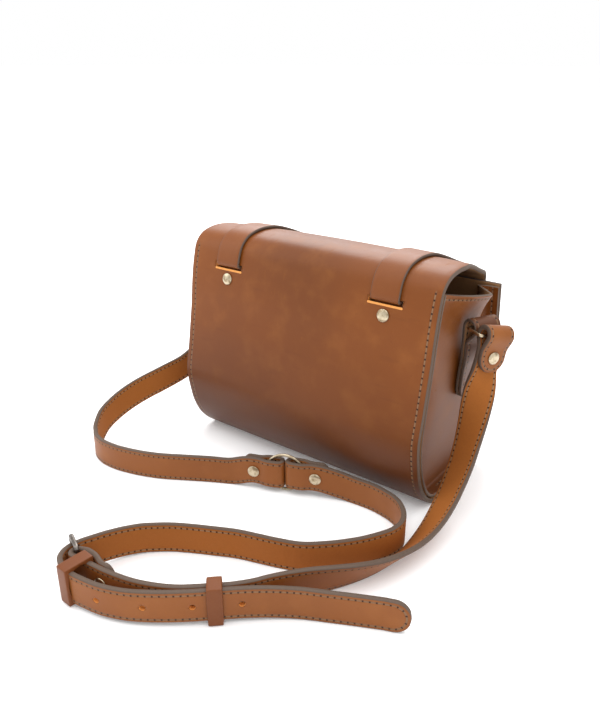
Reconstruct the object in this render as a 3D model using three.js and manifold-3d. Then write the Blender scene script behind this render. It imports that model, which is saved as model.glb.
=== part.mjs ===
import * as THREE from 'three';
import Module from 'manifold-3d';
import { mergeVertices } from 'three/addons/utils/BufferGeometryUtils.js';

const wasm = await Module();
wasm.setup();

// Leather shoulder bag with a flap, standing on its base, its strap laid on the floor.
// Millimetres. +X is the bag's right side seen from its back, +Y points from the back panel
// to the flap, +Z is up. The origin is the centre of the flat base.

// Bag body
const bagWidth = 197;
const bagDepth = 116;
const bagHeight = 158;
const sheetThickness = 3;
const seamGap = 0.3;
const flapGap = 0.6;
const flapEdgeShare = 0.3924;
const flapEdgeHeight = bagHeight * flapEdgeShare;
const flapTaper = 13.5;
const flapCornerRadius = 18;
const topBow = 2;
const bellyBulge = 2;

// Side gussets
const gussetThickness = 2.2;
const flangeWidth = 9.5;
const gussetBulge = 15;
const rimDropBack = 10;
const rimDropFront = 26.5;
const rimHeightBack = bagHeight - rimDropBack;
const rimHeightFront = bagHeight - rimDropFront;
const rimSag = 2;
const gussetCornerHeight = 12;

// Closure belts, their slits, rivets and studs
const beltWidth = 20;
const beltThickness = 2;
const beltInset = 35.5;
const beltSpacing = bagWidth - 2 * beltInset;
const slitDrop = 20.5;
const slitHeight = bagHeight - slitDrop;
const slitPlay = 0.5;
const beltTail = 21;
const beltEndShare = 0.2405;
const studShare = 0.2911;
const beltEndHeight = bagHeight * beltEndShare;
const studHeight = bagHeight * studShare;

// Rivets
const rivetHeadDiameter = 8.6;
const rivetHeadHeight = 1.3;
const rivetShankDiameter = 3;
const backRivetDrop = 9;

// Side tabs and rings
const tabWidth = 20;
const tabThickness = 2;
const tabTopShare = 0.23;
const tabBottomShare = 0.46;
const tabAcross = 0.585;
const tabTurn = 28;
const tabPeel = 4.6;
const tabEyeOut = 5.4;
const tabEyeUp = 11;
const tabEyeInner = 4.4;
const strapEyeInner = 3.2;
const ringWire = 2.5;
const sideRingHeight = 11;
const middleRingInner = 24;
const ringPlay = 0.4;
const ringTilt = 5;

// Strap
const strapWidth = 20;
const ringSlack = 1;
const sideRingLength = strapWidth + ringSlack;
const strapThickness = 3.2;
const strapTipRadius = 9;
const holeDiameter = 3.4;
const holePitch = 25.5;
const holeCount = 6;
const firstHoleFromTip = 88;
const foldOverlap = 31;
const foldRivet = 21.5;
const foldClosed = 17;
const endTabLength = 24;
const endTabRivet = 14;
const endTabClosed = 9;
const endTabRoll = 11;

// Buckle and keepers
const buckleBar = 2.6;
const buckleSlack = 1;
const buckleInnerHeight = strapWidth + buckleSlack;
const prongHeight = 3;
const prongThickness = 2;
const keeperWidth = 8.5;
const keeperThickness = 1.6;
const keeperPlay = 0.4;

const leatherTan = 0x9a5f36;
const leatherBelt = 0x8c5232;
const leatherStrap = 0xa56632;
const leatherDark = 0x744627;
const antiqueBrass = 0xa8925f;
const darkNickel = 0x6e675e;

const bag = new THREE.Group();

function point(x, y, z) {
  return new THREE.Vector3(x, y, z);
}

function addPiece(name, geometry, color, metal = false) {
  const finish = { color, roughness: metal ? 0.35 : 0.5, metalness: metal ? 1 : 0 };
  const mesh = new THREE.Mesh(geometry, new THREE.MeshStandardMaterial(finish));
  mesh.name = name;
  bag.add(mesh);
  return mesh;
}

// Closed mesh from points and faces of 3 or 4 corners, turned so that its faces point out
function solidFrom(points, faces) {
  const triangles = [];
  for (const face of faces) {
    triangles.push([face[0], face[1], face[2]]);
    if (face.length === 4) triangles.push([face[0], face[2], face[3]]);
  }
  let volume = 0;
  for (const [a, b, c] of triangles) {
    volume += points[a].dot(points[b].clone().cross(points[c]));
  }
  const index = triangles.flatMap(([a, b, c]) => (volume > 0 ? [a, b, c] : [a, c, b]));
  const geometry = new THREE.BufferGeometry();
  geometry.setAttribute('position', new THREE.Float32BufferAttribute(points.flatMap((p) => p.toArray()), 3));
  geometry.setIndex(index);
  geometry.computeVertexNormals();
  return geometry;
}

// Closed wall between two grids of points with the same rows and columns
function wallBetween(outer, inner) {
  const rows = outer.length;
  const columns = outer[0].length;
  const points = [...outer.flat(), ...inner.flat()];
  const front = (row, column) => row * columns + column;
  const back = (row, column) => rows * columns + row * columns + column;
  const faces = [];
  for (let r = 0; r < rows - 1; r += 1) {
    for (let c = 0; c < columns - 1; c += 1) {
      faces.push([front(r, c), front(r, c + 1), front(r + 1, c + 1), front(r + 1, c)]);
      faces.push([back(r, c), back(r + 1, c), back(r + 1, c + 1), back(r, c + 1)]);
    }
  }
  for (let r = 0; r < rows - 1; r += 1) {
    faces.push([front(r, 0), front(r + 1, 0), back(r + 1, 0), back(r, 0)]);
    const last = columns - 1;
    faces.push([front(r, last), back(r, last), back(r + 1, last), front(r + 1, last)]);
  }
  for (let c = 0; c < columns - 1; c += 1) {
    faces.push([front(0, c), back(0, c), back(0, c + 1), front(0, c + 1)]);
    const last = rows - 1;
    faces.push([front(last, c), front(last, c + 1), back(last, c + 1), back(last, c)]);
  }
  return solidFrom(points, faces);
}

function toManifold(geometry) {
  const bare = geometry.clone();
  bare.deleteAttribute('normal');
  bare.deleteAttribute('uv');
  const merged = mergeVertices(bare, 1e-4);
  const mesh = new wasm.Mesh({
    numProp: 3,
    vertProperties: merged.attributes.position.array,
    triVerts: Uint32Array.from(merged.index.array),
  });
  return new wasm.Manifold(mesh);
}

function fromManifold(solid) {
  const mesh = solid.getMesh();
  const geometry = new THREE.BufferGeometry();
  geometry.setAttribute('position', new THREE.BufferAttribute(mesh.vertProperties, 3));
  geometry.setIndex(Array.from(mesh.triVerts));
  geometry.computeVertexNormals();
  return geometry;
}

function cutAway(geometry, tools) {
  let solid = toManifold(geometry);
  for (const tool of tools) solid = solid.subtract(toManifold(tool));
  return fromManifold(solid);
}

// Places a geometry made along its own +Z so that +Z points along a direction
function placeAlong(geometry, centre, direction) {
  const turn = new THREE.Quaternion().setFromUnitVectors(point(0, 0, 1), direction.clone().normalize());
  geometry.applyQuaternion(turn);
  geometry.translate(centre.x, centre.y, centre.z);
  return geometry;
}

function drill(centre, direction, diameter, length) {
  const tool = new THREE.CylinderGeometry(diameter / 2, diameter / 2, length, 12);
  tool.rotateX(Math.PI / 2);
  return placeAlong(tool, centre, direction);
}

// Rivet or stud: domed head outside, shank through the layers, flat cap inside.
// Its own +Z points out of the head, and 0 is the middle of the layers.
function rivet(grip, centre, direction) {
  const head = rivetHeadDiameter / 2;
  const shank = rivetShankDiameter / 2;
  const seat = grip / 2 + seamGap;
  const profile = [
    [0, -seat - rivetHeadHeight * 0.7],
    [head * 0.8, -seat - rivetHeadHeight * 0.7],
    [head * 0.9, -seat],
    [shank, -seat],
    [shank, seat],
    [head, seat],
    [head * 0.94, seat + rivetHeadHeight * 0.45],
    [head * 0.6, seat + rivetHeadHeight * 0.9],
    [0, seat + rivetHeadHeight],
  ];
  const geometry = new THREE.LatheGeometry(profile.map(([r, h]) => new THREE.Vector2(r, h)), 16);
  geometry.rotateX(Math.PI / 2);
  return placeAlong(geometry, centre, direction);
}

// Outer face of the one-piece sheet in a cut from front to back, as shares of half the
// depth (out, + to the front) and of the height (up). over counts the layers beneath.
const sheetRows = [
  { out: 0.86, up: 0.838, over: 0 },
  { out: 0.914, up: 0.658, over: 0 },
  { out: 0.966, up: 0.506, over: 0 },
  { out: 1.0, up: 0.354, over: 0 },
  { out: 0.983, up: 0.24, over: 0 },
  { out: 0.9, up: 0.135, over: 0 },
  { out: 0.741, up: 0.055, over: 0 },
  { out: 0.517, up: 0, over: 0 },
  { out: 0.2, up: 0, over: 0 },
  { out: -0.2, up: 0, over: 0 },
  { out: -0.517, up: 0, over: 0 },
  { out: -0.741, up: 0.062, over: 0 },
  { out: -0.885, up: 0.145, over: 0 },
  { out: -0.968, up: 0.25, over: 0 },
  { out: -1.0, up: 0.354, over: 0 },
  { out: -0.957, up: 0.437, over: 0 },
  { out: -0.912, up: 0.534, over: 0 },
  { out: -0.859, up: 0.646, over: 0 },
  { out: -0.802, up: 0.8, over: 0 },
  { out: -0.748, up: 0.896, over: 0 },
  { out: -0.69, up: 0.95, over: 0 },
  { out: -0.575, up: 0.985, over: 0 },
  { out: -0.4, up: 1.0, over: 0 },
  { out: -0.19, up: 1.0, over: 0 },
  { out: 0.0, up: 0.988, over: 0 },
  { out: 0.2, up: 0.964, over: 0 },
  { out: 0.4, up: 0.938, over: 0 },
  { out: 0.58, up: 0.912, over: 0 },
  { out: 0.74, up: 0.892, over: 0 },
  { out: 0.835, up: 0.876, over: 0.2 },
  { out: 0.876, up: 0.838, over: 1 },
  { out: 0.892, up: 0.75, over: 1 },
  { out: 0.922, up: 0.658, over: 1 },
  { out: 0.972, up: 0.506, over: 1 },
  { out: 0.995, up: 0.392, over: 1 },
  { out: 1.0, up: 0.36, over: 0.9 },
  { out: 1.0, up: 0.3, over: 0.4 },
  { out: 0.985, up: 0.22, over: 0.2 },
];

const sheetSteps = 640;
const sheetProfile = makeSheetProfile();
const baseMiddle = sheetProfile.find((q) => q.z < bagHeight / 2 && q.y <= 0).s;
const topMiddle = sheetProfile.find((q) => q.s > baseMiddle && q.z > bagHeight / 2 && q.y >= 0).s;
const taperStart = sheetProfile.find((q) => q.s > baseMiddle && q.z > bagHeight / 2 && q.y >= -bagDepth * 0.1).s;
const flapEnd = sheetStation('flap', flapEdgeHeight);

function makeSheetProfile() {
  const standOff = sheetThickness + flapGap;
  const corners = sheetRows.map(({ out, up, over }) =>
    point(0, (out * bagDepth) / 2 + over * standOff, up * bagHeight));
  const curve = new THREE.CatmullRomCurve3(corners, false, 'centripetal');
  const samples = [];
  let s = 0;
  for (let i = 0; i <= sheetSteps; i += 1) {
    const here = curve.getPoint(i / sheetSteps);
    here.z = Math.max(here.z, 0);
    const before = samples[samples.length - 1];
    if (before) s += Math.hypot(here.y - before.y, here.z - before.z);
    samples.push({ s, y: here.y, z: here.z });
  }
  samples.forEach((q, i) => {
    const from = samples[Math.max(i - 1, 0)];
    const to = samples[Math.min(i + 1, sheetSteps)];
    const length = Math.hypot(to.y - from.y, to.z - from.z);
    q.outY = -(to.z - from.z) / length;
    q.outZ = (to.y - from.y) / length;
  });
  return samples;
}

// Distance along the sheet, from the front panel's upper edge, where a zone has a height
function sheetStation(zone, height) {
  const inZone = {
    front: (q) => q.s < baseMiddle,
    back: (q) => q.s > baseMiddle && q.s < topMiddle,
    flap: (q) => q.s > topMiddle,
  }[zone];
  const rising = zone === 'back';
  const found = sheetProfile.find((q) => inZone(q) && (rising ? q.z >= height : q.z <= height));
  return found.s;
}

function profileAt(s) {
  const next = Math.max(1, sheetProfile.findIndex((q) => q.s >= s));
  const b = sheetProfile[next];
  const a = sheetProfile[next - 1];
  const t = THREE.MathUtils.clamp((s - a.s) / (b.s - a.s), 0, 1);
  const mix = (key) => a[key] + (b[key] - a[key]) * t;
  return { y: mix('y'), z: mix('z'), outY: mix('outY'), outZ: mix('outZ') };
}

// Point at a distance along the sheet, a place across it and a depth inside its outer face
function sheetPoint(s, x, depth) {
  const { y, z, outY, outZ } = profileAt(s);
  const across = 1 - ((2 * x) / bagWidth) ** 2;
  const lift = topBow * across * THREE.MathUtils.smoothstep(z, bagHeight * 0.78, bagHeight);
  const swell = bellyBulge * across * Math.sin((Math.PI * z) / bagHeight) * Math.sign(y);
  return point(x, y - outY * depth + swell, z - outZ * depth + lift);
}

// Stations closer together where the sheet turns
function sheetStations(from, to) {
  const widest = 15;
  const sharpest = THREE.MathUtils.degToRad(13);
  const stations = [from];
  let last = profileAt(from);
  let lastS = from;
  for (const q of sheetProfile) {
    if (q.s <= from || q.s >= to - 1) continue;
    const turn = Math.acos(Math.min(1, q.outY * last.outY + q.outZ * last.outZ));
    if (turn > sharpest || q.s - lastS > widest) {
      stations.push(q.s);
      last = q;
      lastS = q.s;
    }
  }
  stations.push(to);
  return stations;
}

function sheetHalfWidth(s) {
  const half = bagWidth / 2;
  const taperEnd = sheetStation('flap', rimHeightFront);
  const taper = flapTaper * THREE.MathUtils.clamp((s - taperStart) / (taperEnd - taperStart), 0, 1);
  const fromEnd = flapEnd - s;
  let corner = 0;
  if (fromEnd < flapCornerRadius) {
    const reach = flapCornerRadius - fromEnd;
    corner = flapCornerRadius - Math.sqrt(Math.max(flapCornerRadius ** 2 - reach ** 2, 0));
  }
  return half - taper - corner;
}

// One-piece sheet: front panel, base, back panel, top and flap
function bodyWrap() {
  const stations = sheetStations(0, flapEnd - flapCornerRadius);
  for (const share of [0.35, 0.65, 0.85, 0.96, 1]) {
    stations.push(flapEnd - flapCornerRadius * (1 - share));
  }
  const columns = [-1, -0.78, -0.4, 0, 0.4, 0.78, 1];
  const grid = (depth) => stations.map((s) =>
    columns.map((share) => sheetPoint(s, share * sheetHalfWidth(s), depth)));
  const tools = [];
  for (const side of [-1, 1]) {
    tools.push(slitTool(side), backRivetHole(side), studHole(side));
  }
  return cutAway(wallBetween(grid(0), grid(sheetThickness)), tools);
}

function outwardAt(s, x) {
  return sheetPoint(s, x, 0).sub(sheetPoint(s, x, 1)).normalize();
}

const slitStation = sheetStation('back', slitHeight);
const beltDepth = beltThickness / 2 + seamGap;

function slitTool(side) {
  const x = (side * beltSpacing) / 2;
  const size = beltThickness + 2 * slitPlay;
  const tool = new THREE.BoxGeometry(beltWidth + 2 * slitPlay, size, sheetThickness * 4);
  return placeAlong(tool, sheetPoint(slitStation, x, sheetThickness / 2), outwardAt(slitStation, x));
}

const backRivetStation = slitStation - backRivetDrop;
const rivetHole = rivetShankDiameter + 2 * seamGap;

function backRivetHole(side) {
  const x = (side * beltSpacing) / 2;
  const centre = sheetPoint(backRivetStation, x, sheetThickness / 2);
  return drill(centre, outwardAt(backRivetStation, x), rivetHole, 20);
}

const frontStudStation = sheetStation('front', studHeight);

function studHole(side) {
  const x = (side * beltSpacing) / 2;
  return drill(sheetPoint(frontStudStation, x, 0), outwardAt(frontStudStation, x), rivetHole, 40);
}

// Belt: inside the back panel, out through the slit, over the top and down the flap
function closureBelt(side) {
  const inside = sheetThickness + beltDepth;
  const outside = -beltDepth;
  const middle = sheetThickness / 2;
  const bend = beltDepth;
  const end = sheetStation('flap', beltEndHeight);
  const path = [
    { s: slitStation - beltTail, depth: inside },
    { s: slitStation - beltTail * 0.5, depth: inside },
    { s: slitStation - bend * 1.2, depth: inside },
    { s: slitStation - bend * 0.25, depth: inside - 0.5 },
    { s: slitStation, depth: inside - 1.2 },
    { s: slitStation, depth: middle },
    { s: slitStation, depth: outside + 1.2 },
    { s: slitStation + bend * 0.25, depth: outside + 0.5 },
    { s: slitStation + bend * 1.2, depth: outside },
  ];
  for (const s of sheetStations(slitStation + bend * 1.2, end - beltWidth / 2).slice(1)) {
    path.push({ s, depth: outside });
  }
  for (const share of [0.4, 0.7, 0.9, 1]) {
    path.push({ s: end - (beltWidth / 2) * (1 - share), depth: outside, fromEnd: 1 - share });
  }
  const centre = (side * beltSpacing) / 2;
  const frames = path.map(({ s, depth, fromEnd = 1 }) => {
    const half = (beltWidth / 2) * Math.max(0.25, Math.sqrt(1 - (1 - fromEnd) ** 2));
    return { left: sheetPoint(s, centre - half, depth), right: sheetPoint(s, centre + half, depth) };
  });
  const stud = drill(sheetPoint(frontStudStation, centre, 0), outwardAt(frontStudStation, centre), rivetHole, 40);
  const rivetPlace = sheetPoint(backRivetStation, centre, sheetThickness / 2);
  const back = drill(rivetPlace, outwardAt(backRivetStation, centre), rivetHole, 20);
  return cutAway(ribbonFromEdges(frames, beltThickness), [stud, back]);
}

// Band of leather between two edge lines, thickened evenly to both sides
function ribbonFromEdges(frames, thickness) {
  const upper = [];
  const lower = [];
  frames.forEach((frame, i) => {
    const before = frames[Math.max(i - 1, 0)];
    const after = frames[Math.min(i + 1, frames.length - 1)];
    const middle = (f) => f.left.clone().add(f.right).multiplyScalar(0.5);
    const here = middle(frame);
    const entering = here.clone().sub(middle(before));
    const leaving = middle(after).sub(here);
    const inward = entering.lengthSq() > 0 ? entering.normalize() : leaving.clone().normalize();
    const outward = leaving.lengthSq() > 0 ? leaving.normalize() : inward.clone();
    const along = inward.clone().add(outward).normalize();
    const across = frame.right.clone().sub(frame.left).normalize();
    const miter = Math.max(0.6, Math.sqrt((1 + inward.dot(outward)) / 2));
    const normal = across.clone().cross(along).normalize().multiplyScalar(thickness / 2 / miter);
    upper.push([frame.left.clone().add(normal), frame.right.clone().add(normal)]);
    lower.push([frame.left.clone().sub(normal), frame.right.clone().sub(normal)]);
  });
  return wallBetween(upper, lower);
}

// Gusset: how far the wall swells outwards, as shares of gussetBulge, down the side
// (down: 0 the rim, 1 the base) and across it from back to front
const gussetRows = [
  { down: 0, back: 0, near: 0.68, crease: 1, front: -0.3 },
  { down: 0.06, back: 0, near: 0.42, crease: 0.72, front: -0.2 },
  { down: 0.12, back: 0, near: 0.1, crease: 0.42, front: -0.15 },
  { down: 0.25, back: 0, near: 0.08, crease: 0.24, front: -0.1 },
  { down: 0.55, back: 0, near: 0.1, crease: 0.18, front: 0 },
  { down: 1, back: 0, near: 0, crease: 0, front: 0 },
];
const nearShare = 0.35;
const creaseShare = 0.72;

const gussetCurves = ['back', 'near', 'crease', 'front'].map((key) =>
  new THREE.CatmullRomCurve3(gussetRows.map((row) => point(row.down, row[key], 0)), false, 'centripetal'));

function columnShare(curve, down) {
  let low = 0;
  let high = 1;
  for (let i = 0; i < 24; i += 1) {
    const middle = (low + high) / 2;
    if (curve.getPoint(middle).x < down) low = middle;
    else high = middle;
  }
  return curve.getPoint((low + high) / 2).y;
}

function gussetSwell(across, down) {
  const [back, near, crease, front] = gussetCurves.map((curve) => columnShare(curve, down));
  if (across > creaseShare) {
    return crease + ((front - crease) * (across - creaseShare)) / (1 - creaseShare);
  }
  const bow = near - back - ((crease - back) * nearShare) / creaseShare;
  const t = across / creaseShare;
  const bowHeight = nearShare / creaseShare;
  return back + (crease - back) * t + (bow * t * (1 - t)) / (bowHeight * (1 - bowHeight));
}

const flangeDepth = sheetThickness + seamGap + 0.15 + gussetThickness / 2;
const wallDepth = flangeDepth + gussetThickness * 1.1;
const rimStationFront = sheetStation('front', rimHeightFront);
const rimStationBack = sheetStation('back', rimHeightBack);
const cornerFront = sheetStation('front', gussetCornerHeight);
const cornerBack = sheetStation('back', gussetCornerHeight);
const foldLine = bagWidth / 2 - flangeWidth;

// Middle surface of the right gusset's wall: across 0 back to 1 front, down 0 rim to 1 base
function gussetPoint(across, down) {
  const lerp = THREE.MathUtils.lerp;
  const edge = (s) => sheetPoint(s, foldLine, wallDepth);
  const back = edge(lerp(rimStationBack, cornerBack, down));
  const front = edge(lerp(rimStationFront, cornerFront, down));
  const base = edge(lerp(cornerBack, cornerFront, across));
  const rim = edge(rimStationBack).lerp(edge(rimStationFront), across);
  const backLow = edge(cornerBack);
  const frontLow = edge(cornerFront);
  const corners = edge(rimStationBack).lerp(edge(rimStationFront), across).multiplyScalar(1 - down)
    .add(backLow.lerp(frontLow, across).multiplyScalar(down));
  const place = back.lerp(front, across)
    .add(rim.multiplyScalar(1 - down))
    .add(base.multiplyScalar(down))
    .sub(corners);
  place.x = foldLine + gussetBulge * gussetSwell(across, down);
  place.z -= rimSag * 4 * across * (1 - across) * (1 - down);
  return place;
}

// Solid wall on both sides of a surface of faces, mitred at its folds
function thicken(points, faces, thickness) {
  const leans = points.map(() => []);
  const edges = new Map();
  for (const face of faces) {
    const a = points[face[0]];
    const diagonal = points[face[2]].clone().sub(a);
    const other = points[face[3] ?? face[2]].clone().sub(points[face[1]]);
    const normal = diagonal.cross(other).normalize();
    face.forEach((corner, i) => {
      leans[corner].push(normal);
      const next = face[(i + 1) % face.length];
      edges.set(`${corner}_${next}`, [corner, next]);
    });
  }
  const offsets = leans.map((normals) => {
    const mean = normals.reduce((sum, n) => sum.add(n), point(0, 0, 0)).divideScalar(normals.length);
    return mean.multiplyScalar(thickness / 2 / Math.max(mean.lengthSq(), 0.4));
  });
  const outer = points.map((p, i) => p.clone().add(offsets[i]));
  const inner = points.map((p, i) => p.clone().sub(offsets[i]));
  const count = points.length;
  const walls = faces.flatMap((face) => [face, face.map((corner) => corner + count).reverse()]);
  for (const [key, [from, to]] of edges) {
    if (!edges.has(`${to}_${from}`)) walls.push([to, from, from + count, to + count]);
  }
  return solidFrom([...outer, ...inner], walls);
}

// Gusset: a wall inside a seam flange that is folded outwards along the sheet's edge
function gusset(side) {
  const acrossSteps = [0, 0.1, 0.22, nearShare, 0.48, 0.6, creaseShare, 0.82, 0.92, 1];
  const downSteps = [0, 0.1, 0.2, 0.3, 0.42, 0.55, 0.7, 0.85, 1];
  const points = [];
  const faces = [];
  const rowLength = acrossSteps.length;
  for (const down of downSteps) {
    for (const across of acrossSteps) points.push(gussetPoint(across, down));
  }
  for (let r = 0; r < downSteps.length - 1; r += 1) {
    for (let c = 0; c < rowLength - 1; c += 1) {
      const i = r * rowLength + c;
      faces.push([i, i + 1, i + rowLength + 1, i + rowLength]);
    }
  }
  const rim = [];
  const lastRow = (downSteps.length - 1) * rowLength;
  const lerp = THREE.MathUtils.lerp;
  downSteps.forEach((down, r) => {
    rim.push({ corner: r * rowLength, s: lerp(rimStationBack, cornerBack, down) });
  });
  acrossSteps.slice(1, -1).forEach((across, c) => {
    rim.push({ corner: lastRow + c + 1, s: lerp(cornerBack, cornerFront, across) });
  });
  [...downSteps].reverse().forEach((down, r) => {
    const row = downSteps.length - 1 - r;
    rim.push({ corner: row * rowLength + rowLength - 1, s: lerp(rimStationFront, cornerFront, down) });
  });
  const rings = [
    { x: foldLine + 0.35 * gussetThickness, depth: flangeDepth + 0.3 * gussetThickness },
    { x: foldLine + 1.2 * gussetThickness, depth: flangeDepth },
    { x: bagWidth / 2 - seamGap, depth: flangeDepth },
  ];
  let previous = rim.map((entry) => entry.corner);
  for (const ring of rings) {
    const next = rim.map((entry) => {
      points.push(sheetPoint(entry.s, ring.x, ring.depth));
      return points.length - 1;
    });
    for (let i = 0; i < rim.length - 1; i += 1) {
      faces.push([previous[i], previous[i + 1], next[i + 1], next[i]]);
    }
    previous = next;
  }
  for (const p of points) p.x *= side;
  return thicken(points, faces, gussetThickness);
}

// Side tabs, rings and the strap's ends on them
const tabMiddle = (tabTopShare + tabBottomShare) / 2;
const eyeFromRing = (sideRingHeight + ringWire) / 2;

function sideFrame(side) {
  const here = gussetPoint(tabAcross, tabMiddle);
  const onward = gussetPoint(tabAcross + 0.05, tabMiddle);
  const flat = onward.sub(here).setZ(0).normalize();
  const away = point(flat.y, -flat.x, 0);
  const turn = THREE.MathUtils.degToRad(tabTurn);
  const along = point(Math.sin(turn), Math.cos(turn), 0);
  const out = point(along.y, -along.x, 0);
  const standOff = gussetThickness / 2 + seamGap + 0.6 + tabThickness / 2;
  const base = [];
  const steps = 5;
  for (let i = 0; i <= steps; i += 1) {
    const down = THREE.MathUtils.lerp(tabBottomShare, tabTopShare, i / steps);
    const peel = tabPeel * THREE.MathUtils.smoothstep(i / steps, 0.2, 1);
    base.push(gussetPoint(tabAcross, down).addScaledVector(away, standOff + peel));
  }
  const up = point(0, 0, 1);
  const eye = base[steps].clone().addScaledVector(out, tabEyeOut).addScaledVector(up, tabEyeUp);
  const tilt = THREE.MathUtils.degToRad(ringTilt);
  const slope = out.clone().multiplyScalar(Math.cos(tilt)).addScaledVector(up, -Math.sin(tilt));
  const ring = eye.clone().addScaledVector(slope, eyeFromRing);
  const strapEye = ring.clone().addScaledVector(slope, eyeFromRing);
  const frame = { along, out, up, base, eye, ring, strapEye, slope, flat, away };
  if (side > 0) return frame;
  const mirror = (v) => point(-v.x, v.y, v.z);
  const mirrored = {};
  for (const [key, value] of Object.entries(frame)) {
    mirrored[key] = Array.isArray(value) ? value.map(mirror) : mirror(value);
  }
  return mirrored;
}

// Way round an eye: from one layer, over the top and back to the other layer.
// Offsets are along out and up from the eye's centre.
function eyeWay(centre, out, up, radius, from, to) {
  const steps = 12;
  const touch = (offset, sign) => {
    const distance = Math.hypot(offset[0], offset[1]);
    const toward = Math.atan2(offset[1], offset[0]);
    return toward + sign * Math.acos(radius / distance);
  };
  let start = touch(from, Math.sign(from[0] - to[0]));
  let end = touch(to, Math.sign(to[0] - from[0]));
  const turn = Math.PI * 2;
  if (from[0] < to[0]) {
    while (end > start) end -= turn;
  } else {
    while (end < start) end += turn;
  }
  const way = [];
  for (let i = 0; i <= steps; i += 1) {
    const angle = start + ((end - start) * i) / steps;
    way.push([Math.cos(angle) * radius, Math.sin(angle) * radius]);
  }
  return way.map(([o, u]) => centre.clone().addScaledVector(out, o).addScaledVector(up, u));
}

// Ribbon along points with a direction across it and a half width at each
function ribbon(stations, thickness) {
  const frames = stations.map(({ place, across, half }) => ({
    left: place.clone().addScaledVector(across, -half),
    right: place.clone().addScaledVector(across, half),
  }));
  return ribbonFromEdges(frames, thickness);
}

// Adds the narrowing stations of a rounded end beyond the last place
function roundedEnd(stations, direction, radius, atStart = false) {
  const edge = atStart ? stations[0] : stations[stations.length - 1];
  const extra = [0.45, 0.75, 0.92, 1].map((share) => ({
    place: edge.place.clone().addScaledVector(direction, radius * share),
    across: edge.across,
    half: edge.half * Math.max(0.3, Math.sqrt(1 - share ** 2)),
  }));
  return atStart ? [...extra.reverse(), ...stations] : [...stations, ...extra];
}

function ringTab(side) {
  const { along, out, up, base, eye, flat, away } = sideFrame(side);
  const radius = tabEyeInner + tabThickness / 2;
  const half = tabWidth / 2;
  const layer = tabThickness + seamGap;
  const top = base[base.length - 1];
  const toward = top.clone().sub(eye);
  const from = [toward.dot(out), toward.dot(up)];
  const to = [from[0] + layer, from[1]];
  const loop = eyeWay(eye, out, up, radius, from, to).map((place) => ({ place, across: along, half }));
  const last = base.length - 1;
  const swing = (i) => flat.clone().lerp(along, THREE.MathUtils.smoothstep(i / last, 0.4, 1)).normalize();
  const back = base.map((place, i) => ({ place, across: swing(i), half }));
  const front = back.map(({ place, across }) => ({ place: place.clone().addScaledVector(away, layer), across, half }));
  const down = base[0].clone().sub(base[1]).normalize();
  let stations = [...back, ...loop, ...front.reverse()];
  stations = roundedEnd(stations, down, half, true);
  stations = roundedEnd(stations, down, half);
  return ribbon(stations, tabThickness);
}

function roundRing(reach, centre, axis) {
  return placeAlong(new THREE.TorusGeometry(reach, ringWire / 2, 6, 24), centre, axis);
}

// Oblong wire ring with rounded corners, its long way along one direction
function oblongRing(centre, along, aside) {
  const corner = ringWire;
  const halfLength = (sideRingLength + ringWire) / 2;
  const halfHeight = (sideRingHeight + ringWire) / 2;
  const axis = along.clone().cross(aside).normalize();
  const sections = [];
  for (const [sideways, upwards, start] of [[1, 1, 0], [-1, 1, 90], [-1, -1, 180], [1, -1, 270]]) {
    for (let i = 0; i <= 3; i += 1) {
      const angle = THREE.MathUtils.degToRad(start + 30 * i);
      const away = along.clone().multiplyScalar(Math.cos(angle)).addScaledVector(aside, Math.sin(angle));
      const middle = centre.clone()
        .addScaledVector(along, sideways * (halfLength - corner))
        .addScaledVector(aside, upwards * (halfHeight - corner))
        .addScaledVector(away, corner);
      sections.push({ middle, away });
    }
  }
  const sides = 8;
  const points = [];
  for (const { middle, away } of sections) {
    for (let k = 0; k < sides; k += 1) {
      const angle = (Math.PI * 2 * k) / sides;
      points.push(middle.clone()
        .addScaledVector(away, (Math.cos(angle) * ringWire) / 2)
        .addScaledVector(axis, (Math.sin(angle) * ringWire) / 2));
    }
  }
  const faces = [];
  sections.forEach((section, i) => {
    const next = (i + 1) % sections.length;
    for (let k = 0; k < sides; k += 1) {
      const other = (k + 1) % sides;
      faces.push([i * sides + k, next * sides + k, next * sides + other, i * sides + other]);
    }
  });
  return solidFrom(points, faces);
}

function sideRing(side) {
  const { along, out, up, slope, ring } = sideFrame(side);
  const roll = THREE.MathUtils.degToRad(endTabRoll / 2);
  const rolled = along.clone().multiplyScalar(Math.cos(roll)).addScaledVector(up, -Math.sin(roll));
  return oblongRing(ring, rolled, slope);
}

// Strap end on a side ring: the tab hangs outside, the strap leaves on the bag's side.
// Returned from the tab's tip to the place where the strap leaves.
function strapEndFrame(side) {
  const { along: level, out, up: plumb, strapEye } = sideFrame(side);
  const roll = THREE.MathUtils.degToRad(endTabRoll);
  const along = level.clone().multiplyScalar(Math.cos(roll)).addScaledVector(plumb, -Math.sin(roll));
  const up = plumb.clone().multiplyScalar(Math.cos(roll)).addScaledVector(level, Math.sin(roll));
  return { along, out, up, strapEye };
}

function strapEndStations(side, acrossSign) {
  const { along, out, up, strapEye } = strapEndFrame(side);
  const radius = strapEyeInner + strapThickness / 2;
  const layer = (strapThickness + seamGap) / 2;
  const half = strapWidth / 2;
  const at = (o, u) => strapEye.clone().addScaledVector(out, o).addScaledVector(up, u);
  const tipStart = -endTabLength + half;
  const across = along.clone().multiplyScalar(acrossSign);
  const places = [
    at(layer, Math.min(tipStart, -endTabClosed - 1)),
    at(layer, -endTabClosed),
    ...eyeWay(strapEye, out, up, radius, [layer, -endTabClosed], [-layer, -endTabClosed]),
    at(-layer, -endTabClosed),
    at(-layer, -endTabLength),
  ];
  const stations = places.map((place) => ({ place, across, half }));
  return roundedEnd(stations, up.clone().negate(), half, true);
}

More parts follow.
